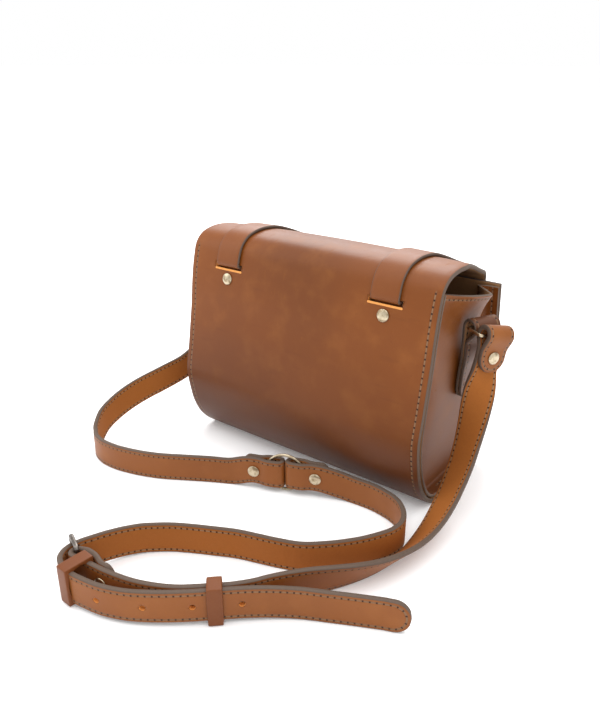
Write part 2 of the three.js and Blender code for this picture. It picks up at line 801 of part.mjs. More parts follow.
function strapEndRivet(side) {
  const { out, up, strapEye } = strapEndFrame(side);
  const centre = strapEye.clone().addScaledVector(up, -endTabRivet);
  return { centre, direction: out };
}

// Strap on the floor. The middle ring stands upright on the floor.
const middleReach = middleRingInner / 2 + ringWire / 2;
const middleRingRadius = middleReach + ringWire / 2;
const middleRing = point(11, -bagDepth / 2 - 19, middleRingRadius);
const middleTurn = THREE.MathUtils.degToRad(22);
const middleAlong = point(Math.cos(middleTurn), Math.sin(middleTurn), 0);
const middleSide = point(-Math.sin(middleTurn), Math.cos(middleTurn), 0);
const middleDrop = 0.8;
const buckleRise = buckleBar + buckleSlack / 2;

// Place on a strap route: rise is the height of its lower edge and lift a share of the
// height that the buckle holds it at, lean tips the upper edge over, aim is its compass way
function routeStation({ x, y, rise = 0, lift = 0, lean = 0, aim = 0 }) {
  const leanAngle = THREE.MathUtils.degToRad(lean);
  const aimAngle = THREE.MathUtils.degToRad(aim);
  const sine = Math.sin(leanAngle);
  const cosine = Math.abs(Math.cos(leanAngle));
  const across = point(sine * Math.cos(aimAngle), sine * Math.sin(aimAngle), Math.cos(leanAngle));
  const height = rise + lift * buckleRise + (strapWidth / 2) * cosine + (strapThickness / 2) * Math.abs(sine);
  return { place: point(x, y - bagDepth / 2, height), across, half: strapWidth / 2 };
}

// Smooth run through stations, with a number of steps for each stretch
function smoothRun(stations, steps) {
  const line = new THREE.CatmullRomCurve3(stations.map((q) => q.place), false, 'centripetal');
  const sweep = new THREE.CatmullRomCurve3(stations.map((q) => q.across), false, 'centripetal');
  const run = [];
  const count = (stations.length - 1) * steps;
  for (let i = 0; i <= count; i += 1) {
    const place = line.getPoint(i / count);
    const across = sweep.getPoint(i / count).normalize();
    const reach = (strapWidth / 2) * Math.abs(across.z) + (strapThickness / 2) * Math.hypot(across.x, across.y);
    place.z = Math.max(place.z, reach);
    run.push({ place, across, half: strapWidth / 2 });
  }
  return run;
}

// Fold round the middle ring. reach points from the ring along the strap that leaves.
// Returned from the riveted end, round the wire and on to where the strap leaves.
function middleFold(reach, drop = 0) {
  const layer = ringWire / 2 + ringPlay + strapThickness / 2;
  const closed = (strapThickness + seamGap) / 2;
  const turnCentre = layer + strapThickness / 2 + 1.2;
  const wireEnd = middleReach + ringWire / 2 + ringPlay;
  const places = [
    [foldOverlap - 6, closed],
    [foldClosed, closed],
    [wireEnd - 2.5, layer],
    [turnCentre, layer],
  ];
  const steps = 8;
  for (let i = 1; i < steps; i += 1) {
    const angle = Math.PI / 2 + (Math.PI * i) / steps;
    places.push([turnCentre + Math.cos(angle) * layer, Math.sin(angle) * layer]);
  }
  places.push([turnCentre, -layer], [wireEnd - 2.5, -layer], [foldClosed, -closed], [foldOverlap - 6, -closed]);
  const stations = places.map(([along, aside]) => ({
    place: middleRing.clone().addScaledVector(reach, along).addScaledVector(middleSide, aside)
      .add(point(0, 0, -drop)),
    across: point(0, 0, 1),
    half: strapWidth / 2,
  }));
  return roundedEnd(stations, reach, 6, true);
}

function middleRivet(reach, drop = 0) {
  const centre = middleRing.clone().addScaledVector(reach, foldRivet).add(point(0, 0, -drop));
  return { centre, direction: middleSide.clone().negate() };
}

// Left section of the strap: from the left side ring, down to the floor, to the middle ring
const leftRoute = [
  { x: -24, y: -34.5 },
  { x: -44, y: -45.5 },
  { x: -71, y: -61, follow: 0.1 },
  { x: -87, y: -67, follow: 0.3 },
  { x: -102, y: -70.5, follow: 0.5 },
  { x: -114, y: -71, follow: 0.75 },
  { x: -126, y: -68, follow: 0.9 },
  { x: -134, y: -62, rise: 1, follow: 1 },
  { x: -143, y: -47, rise: 7, lean: 11, aim: -90, follow: 1 },
  { x: -147, y: -26, rise: 12, lean: 14, aim: -115, follow: 1 },
  { x: -145, y: -5, rise: 17, lean: 19, aim: -125, follow: 1 },
  { x: -138, y: 14, rise: 23, lean: 28, aim: -123, follow: 1 },
  { x: -131, y: 31, rise: 31, lean: 44, aim: -108, follow: 1 },
  { x: -125, y: 44, rise: 45, lean: 62, aim: -95, follow: 1 },
  { x: -119, y: 53, rise: 65, lean: 80, aim: -82, follow: 1 },
];

// Rows near a side of the bag go with it: follow is the share of the way that they keep up
function followSide(rows, side) {
  const shift = (bagWidth / 2 - 98.5) * side;
  return rows.map(({ x, follow = 0, ...row }) => routeStation({ ...row, x: x + shift * follow }));
}

function strapLeftStations() {
  const fold = middleFold(middleAlong.clone().negate(), middleDrop);
  const end = strapEndStations(-1, -1).reverse();
  const leave = fold[fold.length - 1];
  const run = smoothRun([fold[fold.length - 3], leave, ...followSide(leftRoute, -1), end[0], end[1]], 3);
  return [...fold.slice(0, -1), ...run.slice(3, -3), ...end.slice(1)];
}

// Adjusting section: from the middle ring, round its bend to the buckle and on to its free tip
const adjustRoute = [
  { x: 55, y: -3.5 },
  { x: 77, y: -3.5, follow: 0.4 },
  { x: 92, y: -8.5, follow: 0.85 },
  { x: 101, y: -18, follow: 1 },
  { x: 104, y: -27, follow: 1 },
  { x: 102.5, y: -37, follow: 1 },
  { x: 96, y: -49, follow: 0.8 },
  { x: 86, y: -62, follow: 0.5 },
  { x: 69, y: -77.5, follow: 0.2 },
  { x: 50, y: -85 },
  { x: 32, y: -91 },
  { x: 11, y: -101.5 },
  { x: -4, y: -110 },
  { x: -17, y: -122, lift: 0.15 },
  { x: -24, y: -135, lift: 0.5 },
  { x: -28, y: -147, lift: 0.85 },
  { x: -30.2, y: -155, lift: 1 },
  { x: -30.8, y: -161.5, lift: 1 },
  { x: -28, y: -168, lift: 1 },
  { x: -21.5, y: -172, lift: 1 },
  { x: -13, y: -173, lift: 0.85 },
  { x: -4, y: -172, lift: 0.65 },
  { x: 9, y: -169, lift: 0.6 },
  { x: 23, y: -163, lift: 0.65 },
  { x: 40.5, y: -151, lift: 0.72 },
  { x: 57, y: -136.5, lift: 0.75 },
  { x: 74, y: -120.5, lift: 0.5 },
  { x: 91, y: -107.5, lift: 0.1 },
  { x: 110, y: -97.5 },
  { x: 128, y: -88.5 },
  { x: 134, y: -86 },
];

function strapAdjustStations() {
  const fold = middleFold(middleAlong);
  const leave = fold[fold.length - 1];
  const rows = followSide(adjustRoute, 1);
  const run = smoothRun([fold[fold.length - 3], leave, ...rows], 3);
  const stations = [...fold.slice(0, -1), ...run.slice(3)];
  const last = stations[stations.length - 1].place.clone().sub(stations[stations.length - 2].place).normalize();
  return roundedEnd(stations, last, strapTipRadius);
}

// Buckle: the hinge bar carries the buckle section, the far bar lies outside the strap
const hingeBar = point(-23, -bagDepth / 2 - 160.7, 0);
const farBar = point(-35, -bagDepth / 2 - 155.6, 0);
const buckleAlong = farBar.clone().sub(hingeBar).normalize();
const buckleOut = point(buckleAlong.y, -buckleAlong.x, 0).multiplyScalar(-1);
const buckleMiddle = buckleRise + strapWidth / 2;

// Buckle section: fold round the hinge bar, beside the free end, up to the right side ring
const foldBack = [
  { x: -3, y: -157.5, lift: 0.65 },
  { x: -7, y: -157.7, lift: 0.7 },
  { x: -11, y: -156.6, lift: 0.8 },
  { x: -15, y: -156, lift: 1 },
  { x: -20, y: -156, lift: 1 },
];

const buckleRoute = [
  { x: -18, y: -162.8, lift: 1 },
  { x: -12, y: -162.3, lift: 0.85 },
  { x: -3, y: -161, lift: 0.65 },
  { x: 9, y: -159, lift: 0.6 },
  { x: 23, y: -155, lift: 0.65 },
  { x: 38, y: -147.8, lift: 0.72 },
  { x: 46.6, y: -141.2, lift: 0.75 },
  { x: 54.6, y: -133.8, lift: 0.75 },
  { x: 60.8, y: -127.6, lift: 0.6 },
  { x: 67, y: -118.5, lift: 0.3, follow: 0.05 },
  { x: 74, y: -106.5, follow: 0.15 },
  { x: 84, y: -92, lean: 8, aim: -25, follow: 0.35 },
  { x: 97, y: -76, lean: 20, aim: -25, follow: 0.65 },
  { x: 107, y: -59, lean: 33, aim: -22, follow: 0.9 },
  { x: 113, y: -40, lean: 42, aim: -12, follow: 1 },
  { x: 115.5, y: -20, rise: 2.4, lean: 50, aim: -8, follow: 1 },
  { x: 115.5, y: 0, rise: 8, lean: 57, aim: -10, follow: 1 },
  { x: 114.5, y: 18, rise: 17.5, lean: 64, aim: -14, follow: 1 },
  { x: 113.5, y: 33, rise: 32, lean: 76, aim: -18, follow: 1 },
  { x: 113, y: 43, rise: 51, lean: 86, aim: -12, follow: 1 },
  { x: 112.5, y: 50, rise: 70, lean: 90, aim: 16, follow: 1 },
];

function strapBuckleStations() {
  const radius = buckleBar / 2 + ringPlay + strapThickness / 2;
  const back = smoothRun(foldBack.map(routeStation), 2);
  const turn = [];
  const steps = 8;
  for (let i = 0; i <= steps; i += 1) {
    const angle = THREE.MathUtils.degToRad(100 + (170 * i) / steps);
    turn.push({
      place: point(hingeBar.x + Math.cos(angle) * radius, hingeBar.y + Math.sin(angle) * radius, buckleMiddle),
      across: point(0, 0, 1),
      half: strapWidth / 2,
    });
  }
  const end = strapEndStations(1, 1).reverse();
  const rows = followSide(buckleRoute, 1);
  const run = smoothRun([turn[steps], ...rows, end[0], end[1]], 3);
  const stations = [...back, ...turn.slice(0, -1), ...run.slice(0, -3), ...end.slice(1)];
  const outward = back[0].place.clone().sub(back[1].place).normalize();
  return roundedEnd(stations, outward, 6, true);
}

function buckleFrame(grow = 0) {
  const bar = buckleBar + 2 * grow;
  const length = hingeBar.distanceTo(farBar);
  const halfHeight = buckleInnerHeight / 2;
  const outerLength = length / 2 + bar / 2;
  const outerHeight = halfHeight + bar;
  const corner = bar;
  const shape = roundedRectangle(outerLength, outerHeight, corner);
  shape.holes.push(roundedRectangle(length / 2 - bar / 2, halfHeight, 1));
  const bevel = bar * 0.22;
  const geometry = new THREE.ExtrudeGeometry(shape, {
    depth: bar - 2 * bevel,
    bevelEnabled: true,
    bevelThickness: bevel,
    bevelSize: bevel,
    bevelOffset: -bevel,
    bevelSegments: 1,
    curveSegments: 4,
  });
  geometry.translate(0, 0, -bar / 2 + bevel);
  const basis = new THREE.Matrix4().makeBasis(buckleAlong, point(0, 0, 1), buckleAlong.clone().cross(point(0, 0, 1)));
  geometry.applyMatrix4(basis);
  const middle = hingeBar.clone().add(farBar).multiplyScalar(0.5);
  geometry.translate(middle.x, middle.y, buckleMiddle);
  return geometry;
}

function roundedRectangle(halfLength, halfHeight, radius) {
  const shape = new THREE.Shape();
  shape.moveTo(halfLength, -halfHeight + radius);
  shape.lineTo(halfLength, halfHeight - radius);
  shape.absarc(halfLength - radius, halfHeight - radius, radius, 0, Math.PI / 2, false);
  shape.absarc(-halfLength + radius, halfHeight - radius, radius, Math.PI / 2, Math.PI, false);
  shape.absarc(-halfLength + radius, -halfHeight + radius, radius, Math.PI, Math.PI * 1.5, false);
  shape.absarc(halfLength - radius, -halfHeight + radius, radius, Math.PI * 1.5, Math.PI * 2, false);
  return shape;
}

// Prong: an eye round the hinge bar and a tongue that lies outside the far bar
function buckleProng(grow = 0) {
  const inner = buckleBar / 2 + seamGap;
  const outer = inner + prongThickness;
  const length = hingeBar.distanceTo(farBar) + buckleBar / 2;
  const start = THREE.MathUtils.degToRad(60);
  const steps = 8;
  const outline = [];
  for (let i = 0; i <= steps; i += 1) {
    const angle = start + ((Math.PI * 1.5 - start) * i) / steps;
    outline.push([Math.cos(angle) * (outer + grow), Math.sin(angle) * (outer + grow)]);
  }
  outline.push([length + grow, -outer - grow], [length + grow, -inner + grow], [0, -inner + grow]);
  for (let i = steps - 1; i >= 0; i -= 1) {
    const angle = start + ((Math.PI * 1.5 - start) * i) / steps;
    outline.push([Math.cos(angle) * (inner - grow * 0.5), Math.sin(angle) * (inner - grow * 0.5)]);
  }
  const shape = new THREE.Shape(outline.map(([a, b]) => new THREE.Vector2(a, b)));
  const height = prongHeight + 2 * grow;
  const geometry = new THREE.ExtrudeGeometry(shape, { depth: height, bevelEnabled: false });
  geometry.translate(0, 0, -height / 2);
  const basis = new THREE.Matrix4().makeBasis(buckleAlong, buckleOut.clone().negate(), point(0, 0, -1));
  geometry.applyMatrix4(basis);
  geometry.translate(hingeBar.x, hingeBar.y, buckleMiddle);
  return geometry;
}

// Keeper: a band round the strap layers between two stations of the adjusting section
function keeper(centre, along, outerSpan, innerSpan) {
  const band = (reach, length) => {
    const shape = new THREE.Shape();
    const left = -outerSpan - reach;
    const right = innerSpan + reach;
    const low = -strapWidth / 2 - reach;
    const high = strapWidth / 2 + reach;
    shape.moveTo(left, low);
    shape.lineTo(right, low);
    shape.lineTo(right, high);
    shape.lineTo(left, high);
    const geometry = new THREE.ExtrudeGeometry(shape, { depth: length, bevelEnabled: false });
    geometry.translate(0, 0, -length / 2);
    const across = point(-along.y, along.x, 0);
    geometry.applyMatrix4(new THREE.Matrix4().makeBasis(across, point(0, 0, 1), along.clone()));
    geometry.translate(centre.x, centre.y, centre.z);
    return geometry;
  };
  return cutAway(band(keeperPlay + keeperThickness, keeperWidth), [band(keeperPlay, keeperWidth * 2)]);
}

function stationNear(stations, x, y) {
  let best = 0;
  stations.forEach((q, i) => {
    const reach = (p) => Math.hypot(p.place.x - x, p.place.y + bagDepth / 2 - y);
    if (reach(q) < reach(stations[best])) best = i;
  });
  return best;
}

// Holes at an even pitch back from the free tip
function strapHoles(stations) {
  const tools = [];
  let run = 0;
  let next = firstHoleFromTip;
  for (let i = stations.length - 1; i > 0 && tools.length < holeCount; i -= 1) {
    const step = stations[i].place.distanceTo(stations[i - 1].place);
    while (run + step > next && tools.length < holeCount) {
      const centre = stations[i].place.clone().lerp(stations[i - 1].place, (next - run) / step);
      const along = stations[i - 1].place.clone().sub(stations[i].place).normalize();
      tools.push(drill(centre, along.cross(stations[i].across), holeDiameter, 12));
      next += holePitch;
    }
    run += step;
  }
  return tools;
}

addPiece('body_wrap', bodyWrap(), leatherTan);

const sides = [['right', 1], ['left', -1]];
for (const [word, side] of sides) {
  const x = (side * beltSpacing) / 2;
  addPiece(`gusset_${word}`, gusset(side), leatherTan);
  addPiece(`closure_belt_${word}`, closureBelt(side), leatherBelt);
  const backPlace = sheetPoint(backRivetStation, x, (sheetThickness + seamGap + beltThickness) / 2);
  const backGrip = sheetThickness + seamGap + beltThickness;
  addPiece(`back_rivet_${word}`, rivet(backGrip, backPlace, outwardAt(backRivetStation, x)), antiqueBrass, true);
  const studOut = outwardAt(frontStudStation, x);
  const studInner = sheetPoint(frontStudStation, x, sheetThickness);
  const beltFace = sheetPoint(sheetStation('flap', studHeight), x, -beltThickness - seamGap);
  const studGrip = beltFace.sub(studInner).dot(studOut) + 0.4;
  const studPlace = studInner.clone().addScaledVector(studOut, studGrip / 2 - 0.15);
  addPiece(`closure_stud_${word}`, rivet(studGrip, studPlace, studOut), antiqueBrass, true);
  addPiece(`ring_tab_${word}`, ringTab(side), leatherDark);
  addPiece(`side_ring_${word}`, sideRing(side), antiqueBrass, true);
}

const layers = 2 * strapThickness + seamGap;
const leftStations = strapLeftStations();
const adjustStations = strapAdjustStations();
const buckleStations = strapBuckleStations();

function rivetTool({ centre, direction }) {
  return drill(centre, direction, rivetHole, 16);
}

const leftMiddleRivet = middleRivet(middleAlong.clone().negate(), middleDrop);
const rightMiddleRivet = middleRivet(middleAlong);
const leftEndRivet = strapEndRivet(-1);
const rightEndRivet = strapEndRivet(1);
const foldRivetPlace = {
  centre: routeStation({ x: -2.7, y: -159.1, lift: 0.7 }).place,
  direction: point(0.14, -0.99, 0).normalize(),
};

addPiece('strap_left', cutAway(ribbon(leftStations, strapThickness),
  [rivetTool(leftMiddleRivet), rivetTool(leftEndRivet)]), leatherStrap);
addPiece('strap_adjust', cutAway(ribbon(adjustStations, strapThickness),
  [rivetTool(rightMiddleRivet), buckleProng(seamGap), ...strapHoles(adjustStations)]), leatherStrap);
addPiece('strap_buckle', cutAway(ribbon(buckleStations, strapThickness),
  [rivetTool(foldRivetPlace), rivetTool(rightEndRivet), buckleProng(seamGap)]), leatherStrap);

const middleAxis = middleAlong.clone().cross(point(0, 0, 1));
addPiece('middle_ring', roundRing(middleReach, middleRing, middleAxis), antiqueBrass, true);

const strapRivets = {
  strap_rivet_middle_left: leftMiddleRivet,
  strap_rivet_middle_right: rightMiddleRivet,
  strap_rivet_end_left: leftEndRivet,
  strap_rivet_end_right: rightEndRivet,
  strap_rivet_buckle: foldRivetPlace,
};
for (const [name, { centre, direction }] of Object.entries(strapRivets)) {
  addPiece(name, rivet(layers, centre, direction), antiqueBrass, true);
}

addPiece('buckle_frame', buckleFrame(), darkNickel, true);
addPiece('buckle_prong', buckleProng(), darkNickel, true);

function addKeeper(name, x, y, reachOut, reachIn) {
  const i = stationNear(adjustStations, x, y);
  const along = adjustStations[i + 1].place.clone().sub(adjustStations[i - 1].place).setZ(0).normalize();
  addPiece(name, keeper(adjustStations[i].place, along, reachOut, reachIn), leatherBelt);
}

addKeeper('keeper_fixed', -15, -172, strapThickness / 2, 12.4);
addKeeper('keeper_sliding', 57, -136.5, strapThickness / 2, strapThickness * 1.5 + seamGap * 2);

export default bag;
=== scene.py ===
import math

import bpy
import numpy as np
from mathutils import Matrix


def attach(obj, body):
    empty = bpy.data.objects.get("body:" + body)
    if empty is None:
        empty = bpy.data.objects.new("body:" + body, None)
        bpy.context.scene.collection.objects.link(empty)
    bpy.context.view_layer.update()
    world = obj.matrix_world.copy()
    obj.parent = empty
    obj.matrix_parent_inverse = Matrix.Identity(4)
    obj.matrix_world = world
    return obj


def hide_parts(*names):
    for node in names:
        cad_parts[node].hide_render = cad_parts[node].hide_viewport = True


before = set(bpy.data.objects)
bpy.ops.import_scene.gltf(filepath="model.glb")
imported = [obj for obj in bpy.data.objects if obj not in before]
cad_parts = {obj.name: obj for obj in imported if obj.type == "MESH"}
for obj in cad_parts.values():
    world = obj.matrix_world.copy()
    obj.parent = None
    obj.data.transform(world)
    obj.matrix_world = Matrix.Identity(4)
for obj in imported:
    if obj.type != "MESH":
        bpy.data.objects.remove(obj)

bpy.ops.object.select_all(action="DESELECT")
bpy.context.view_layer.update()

# Camera: it stands behind the bag and to its right, a little above it, and sees the
# back panel, the right gusset and the strap that lies on the floor in front.
bpy.ops.object.camera_add(
    location=(0.2607, -0.3920, 0.2707),
    rotation=(math.radians(66.62), 0, math.radians(36.99)),
)
camera = bpy.context.object
camera.name = "camera_back_right"
camera.data.sensor_width = 36
camera.data.lens = 34.825
camera.data.clip_start = 0.01
bpy.context.scene.camera = camera

# Studio: a white table without an edge in sight, one wide soft box over it, one from the
# left of the camera, a weaker one from its right and one from behind the bag, for the
# light along its top. Shadows are faint and soft.
bpy.context.scene.view_settings.view_transform = "Standard"
bpy.ops.mesh.primitive_plane_add(size=60, location=(0, 0, 0))
table = bpy.context.object
table.name = "white_table"
paper = bpy.data.materials.new("white_paper")
paper.use_nodes = True
paper_shader = paper.node_tree.nodes["Principled BSDF"]
paper_shader.inputs["Base Color"].default_value = (0.93, 0.93, 0.935, 1)
paper_shader.inputs["Roughness"].default_value = 0.9
paper_shader.inputs["Specular IOR Level"].default_value = 0.1
paper_shader.inputs["Emission Color"].default_value = (1, 1, 1, 1)
paper_shader.inputs["Emission Strength"].default_value = 0.1
table.data.materials.append(paper)

for name, place, size, power, turn in (
    ("soft_box_top", (0.1, 0.1, 1.6), 2.2, 26, (4, 0, 0)),
    ("soft_box_left", (-1.3, -0.9, 1.0), 1.3, 8.5, (62, 0, -55)),
    ("soft_box_right", (1.5, -0.5, 0.9), 1.1, 2, (62, 0, 70)),
    ("soft_box_behind", (-0.8, 1.2, 1.1), 1.0, 17, (54, 0, -146)),
):
    bpy.ops.object.light_add(
        type="AREA", location=place, rotation=[math.radians(angle) for angle in turn]
    )
    lamp = bpy.context.object
    lamp.name = name
    lamp.data.size = size
    lamp.data.energy = power
room = bpy.data.worlds.new("white_room")
room.use_nodes = True
room.node_tree.nodes["Background"].inputs["Color"].default_value = (1, 1, 1, 1)
room.node_tree.nodes["Background"].inputs["Strength"].default_value = 1.0
bpy.context.scene.world = room


# Body: one sheet of thick vegetable-tanned leather, 3 mm, that is cut flat and wrapped
# round front, base, back and top and on as the flap. Its grain side is waxed and faces
# out, its flesh side is suede, and its cut edges are painted taupe and rubbed round.
class Wire:
    """A value, colour or direction inside a finish. Sums on it add their own nodes."""

    def __init__(self, finish, socket):
        self.finish = finish
        self.socket = socket

    def reckon(self, operation, *values):
        sockets = dict(enumerate(values))
        node = self.finish.add("ShaderNodeMath", {"operation": operation}, sockets)
        return node.out("Value")

    def __add__(self, other):
        return self.reckon("ADD", self, other)

    def __radd__(self, other):
        return self.reckon("ADD", other, self)

    def __sub__(self, other):
        return self.reckon("SUBTRACT", self, other)

    def __rsub__(self, other):
        return self.reckon("SUBTRACT", other, self)

    def __mul__(self, other):
        return self.reckon("MULTIPLY", self, other)

    def __rmul__(self, other):
        return self.reckon("MULTIPLY", other, self)

    def __truediv__(self, other):
        return self.reckon("DIVIDE", self, other)

    def size(self):
        return self.reckon("ABSOLUTE", self)

    def step(self, low, high):
        """0 below low, 1 above high, a soft rise between, or a fall if low is higher."""
        start, end = (0, 1) if low < high else (1, 0)
        low, high = min(low, high), max(low, high)
        node = self.finish.add(
            "ShaderNodeMapRange",
            {"interpolation_type": "SMOOTHSTEP"},
            {"Value": self, "From Min": low, "From Max": high, "To Min": start, "To Max": end},
        )
        return node.out("Result")


class Finish:
    """The nodes of one material, round one Principled shader."""

    def __init__(self, name):
        self.material = bpy.data.materials.new(name)
        self.material.use_nodes = True
        self.tree = self.material.node_tree
        self.shader = self.tree.nodes["Principled BSDF"]
        self.made = None

    def add(self, kind, settings, values):
        node = self.tree.nodes.new(kind)
        for key, value in settings.items():
            setattr(node, key, value)
        for key, value in values.items():
            self.set(node.inputs[key], value)
        step = Finish.__new__(Finish)
        step.__dict__.update(self.__dict__)
        step.made = node
        return step

    def set(self, socket, value):
        if isinstance(value, Wire):
            self.tree.links.new(value.socket, socket)
        else:
            socket.default_value = value

    def out(self, name):
        return Wire(self, self.made.outputs[name])

    def feed(self, **values):
        for key, value in values.items():
            self.set(self.shader.inputs[key.replace("_", " ")], value)

    def blend(self, share, first, second):
        """Colour between first and second."""
        node = self.add("ShaderNodeMix", {"data_type": "RGBA"}, {0: share, 6: first, 7: second})
        return Wire(self, node.made.outputs[2])

    def place(self, stretch=(1, 1, 1)):
        where = self.add("ShaderNodeTexCoord", {}, {}).out("Object")
        return self.add("ShaderNodeMapping", {}, {"Vector": where, "Scale": stretch}).out("Vector")

    def noise(self, scale, detail=3, stretch=(1, 1, 1)):
        values = {"Vector": self.place(stretch), "Scale": scale, "Detail": detail}
        return self.add("ShaderNodeTexNoise", {}, values).out("Fac")

    def reading(self, name):
        """The three numbers of an attribute that the piece carries."""
        vector = self.add("ShaderNodeAttribute", {"attribute_name": name}, {}).out("Vector")
        parts = self.add("ShaderNodeSeparateXYZ", {}, {"Vector": vector})
        return parts.out("X"), parts.out("Y"), parts.out("Z")


THREAD = (0.2, 0.108, 0.055, 1)
PALE_THREAD = (0.25, 0.14, 0.07, 1)
# Painted shade: the near-black inside of the needle holes.
HOLE_SHADE = (0.016, 0.008, 0.004, 1)
EDGE_PAINT = (0.085, 0.058, 0.043, 1)
SUEDE = (0.33, 0.17, 0.075, 1)


def darker(colour, share):
    """A colour times a share, which may also be above 1."""
    return tuple(share * value for value in colour[:3]) + (1,)


def leather(name, tone, deep, pale, inner=None, stitch_pitch=0.0042, stitch_row=0.0026,
            shade=0.0, thread_inside=None):
    """Waxed leather with its mottling, pores and creases, painted edges and sewn rows.
    Lengths are in metres. shade is painted shade: it darkens the colour towards the table."""
    finish = Finish(name)
    cloud = finish.noise(9, 1)
    mottle = finish.noise(62, 4)
    speck = finish.noise(520, 3)
    pore = finish.noise(2300, 2)
    streak = finish.noise(34, 5, (1, 1, 7)).step(0.6, 0.74)
    scratch = finish.noise(75, 2, (9, 1, 2.4)).step(0.685, 0.72)
    along, inset, sewn = finish.reading("seam")
    edge, grain, _ = finish.reading("side")

    colour = finish.blend(cloud.step(0.16, 0.6) * 0.42 + 0.58, deep, tone)
    colour = finish.blend(mottle.step(0.42, 0.85) * 0.34, colour, pale)
    colour = finish.blend(speck.step(0.35, 0.15) * 0.35, colour, deep)
    colour = finish.blend(streak * 0.12, colour, deep)
    colour = finish.blend(scratch * 0.12, colour, pale)
    if shade:
        # Painted shade: the colour darkens towards the table, by the share shade.
        height = finish.add("ShaderNodeSeparateXYZ", {}, {"Vector": finish.place()}).out("Z")
        colour = finish.blend(height.step(0.115, 0.0) * shade, colour, deep)
    if inner:
        suede = finish.blend(finish.noise(900, 4), inner, darker(inner, 0.8))
        colour = finish.blend(grain.step(0.1, -0.1), colour, suede)

    away = (inset - stitch_row).size()
    turns = (along / stitch_pitch).reckon("FRACT", along / stitch_pitch)
    dash = (turns - 0.5).size()
    on_row = away.step(0.00062, 0.00035)
    thread = on_row * dash.step(0.39, 0.31) * sewn
    hole = away.step(0.00075, 0.0004) * dash.step(0.34, 0.4) * sewn
    groove = away.step(0.0013, 0.0003) * sewn
    # Painted shade: the stitching groove is darkened.
    colour = finish.blend(groove * 0.2, colour, deep)
    yarn = finish.blend(grain.step(0.1, -0.1), THREAD, thread_inside or THREAD)
    colour = finish.blend(thread, colour, yarn)
    # Painted shade: the needle holes are painted near black.
    colour = finish.blend(hole * 0.9, colour, HOLE_SHADE)
    near_edge = inset.step(0.0016, 0.0002)
    colour = finish.blend(near_edge * 0.35, colour, deep)
    paint = finish.blend(finish.noise(700, 3), EDGE_PAINT, darker(EDGE_PAINT, 1.35))
    colour = finish.blend(edge.step(0.25, 0.6), colour, paint)

    rough = 0.4 + mottle * 0.12 + scratch * 0.12 + thread * 0.3 + edge.step(0.25, 0.6) * 0.2
    if inner:
        rough = rough + grain.step(0.1, -0.1) * 0.45
    relief = pore * 0.05 + speck * 0.12 + cloud * 0.6 - scratch * 0.05
    relief = relief - groove * 0.5 + thread * 0.7 - hole * 0.8
    bump = finish.add(
        "ShaderNodeBump", {}, {"Strength": 0.55, "Distance": 0.0006, "Height": relief}
    )
    finish.feed(Base_Color=colour, Roughness=rough, Normal=bump.out("Normal"))
    finish.shader.inputs["Specular IOR Level"].default_value = 0.23
    finish.shader.inputs["Coat Weight"].default_value = 0.04
    finish.shader.inputs["Coat Roughness"].default_value = 0.35
    return finish.material


def smooth_way(points, widest):
    """More points on an even curve through the given ones, none further apart than widest."""
    points = np.array(points, float)
    before = np.vstack([2 * points[0] - points[1], points[:-1]])
    after = np.vstack([points[1:], 2 * points[-1] - points[-2]])
    made = []
    for i in range(len(points) - 1):
        start, end = points[i], points[i + 1]
        span = max(np.linalg.norm((end - start)[:3]), 1e-9)
        span_in = max(np.linalg.norm((start - before[i])[:3]), 1e-9)
        span_out = max(np.linalg.norm((after[i + 1] - end)[:3]), 1e-9)
        lead = (end - before[i]) / (span_in + span) * span
        leave = (after[i + 1] - start) / (span + span_out) * span
        count = max(1, math.ceil(span / widest))
        for k in range(count):
            t = k / count
            made.append(
                (2 * t**3 - 3 * t**2 + 1) * start
                + (t**3 - 2 * t**2 + t) * lead
                + (3 * t**2 - 2 * t**3) * end
                + (t**3 - t**2) * leave
            )
    made.append(points[-1])
    return np.array(made)


def unit(vectors):
    return vectors / np.maximum(np.linalg.norm(vectors, axis=-1, keepdims=True), 1e-12)


def along_of(places):
    """Distance from the first place to each, along the way."""
    return np.concatenate([[0], np.cumsum(np.linalg.norm(np.diff(places, axis=0), axis=1))])


def rolled_leather(name, places, seam, side, finish):
    """A flat grid blank that is rolled into a closed piece. places holds a row for each
    station and a column for each point of the ring round it, the last on the first."""
    rows, columns = places.shape[:2]
    bpy.ops.object.select_all(action="DESELECT")
    bpy.ops.mesh.primitive_grid_add(x_subdivisions=columns - 1, y_subdivisions=rows - 1, size=2)
    piece = bpy.context.object
    piece.name = name
    mesh = piece.data
    mesh.name = name
    flat = np.empty(len(mesh.vertices) * 3, np.float32)
    mesh.vertices.foreach_get("co", flat)
    flat = flat.reshape(-1, 3)
    row = np.rint((flat[:, 1] + 1) / 2 * (rows - 1)).astype(int)
    column = np.rint((flat[:, 0] + 1) / 2 * (columns - 1)).astype(int)
    mesh.vertices.foreach_set("co", (places[row, column] / 1000).astype(np.float32).ravel())
    for word, values in (("seam", seam), ("side", side)):
        attribute = mesh.attributes.new(word, "FLOAT_VECTOR", "POINT")
        attribute.data.foreach_set("vector", values[row, column].astype(np.float32).ravel())
    bpy.ops.object.mode_set(mode="EDIT")
    bpy.ops.mesh.select_all(action="SELECT")
    bpy.ops.mesh.remove_doubles(threshold=0.00002)
    bpy.ops.mesh.normals_make_consistent(inside=False)
    bpy.ops.object.mode_set(mode="OBJECT")
    bpy.ops.object.shade_smooth()
    mesh.materials.append(finish)
    return piece


EDGE_TURNS = np.radians(np.linspace(90, -90, 9))
CAP_STEPS = 8


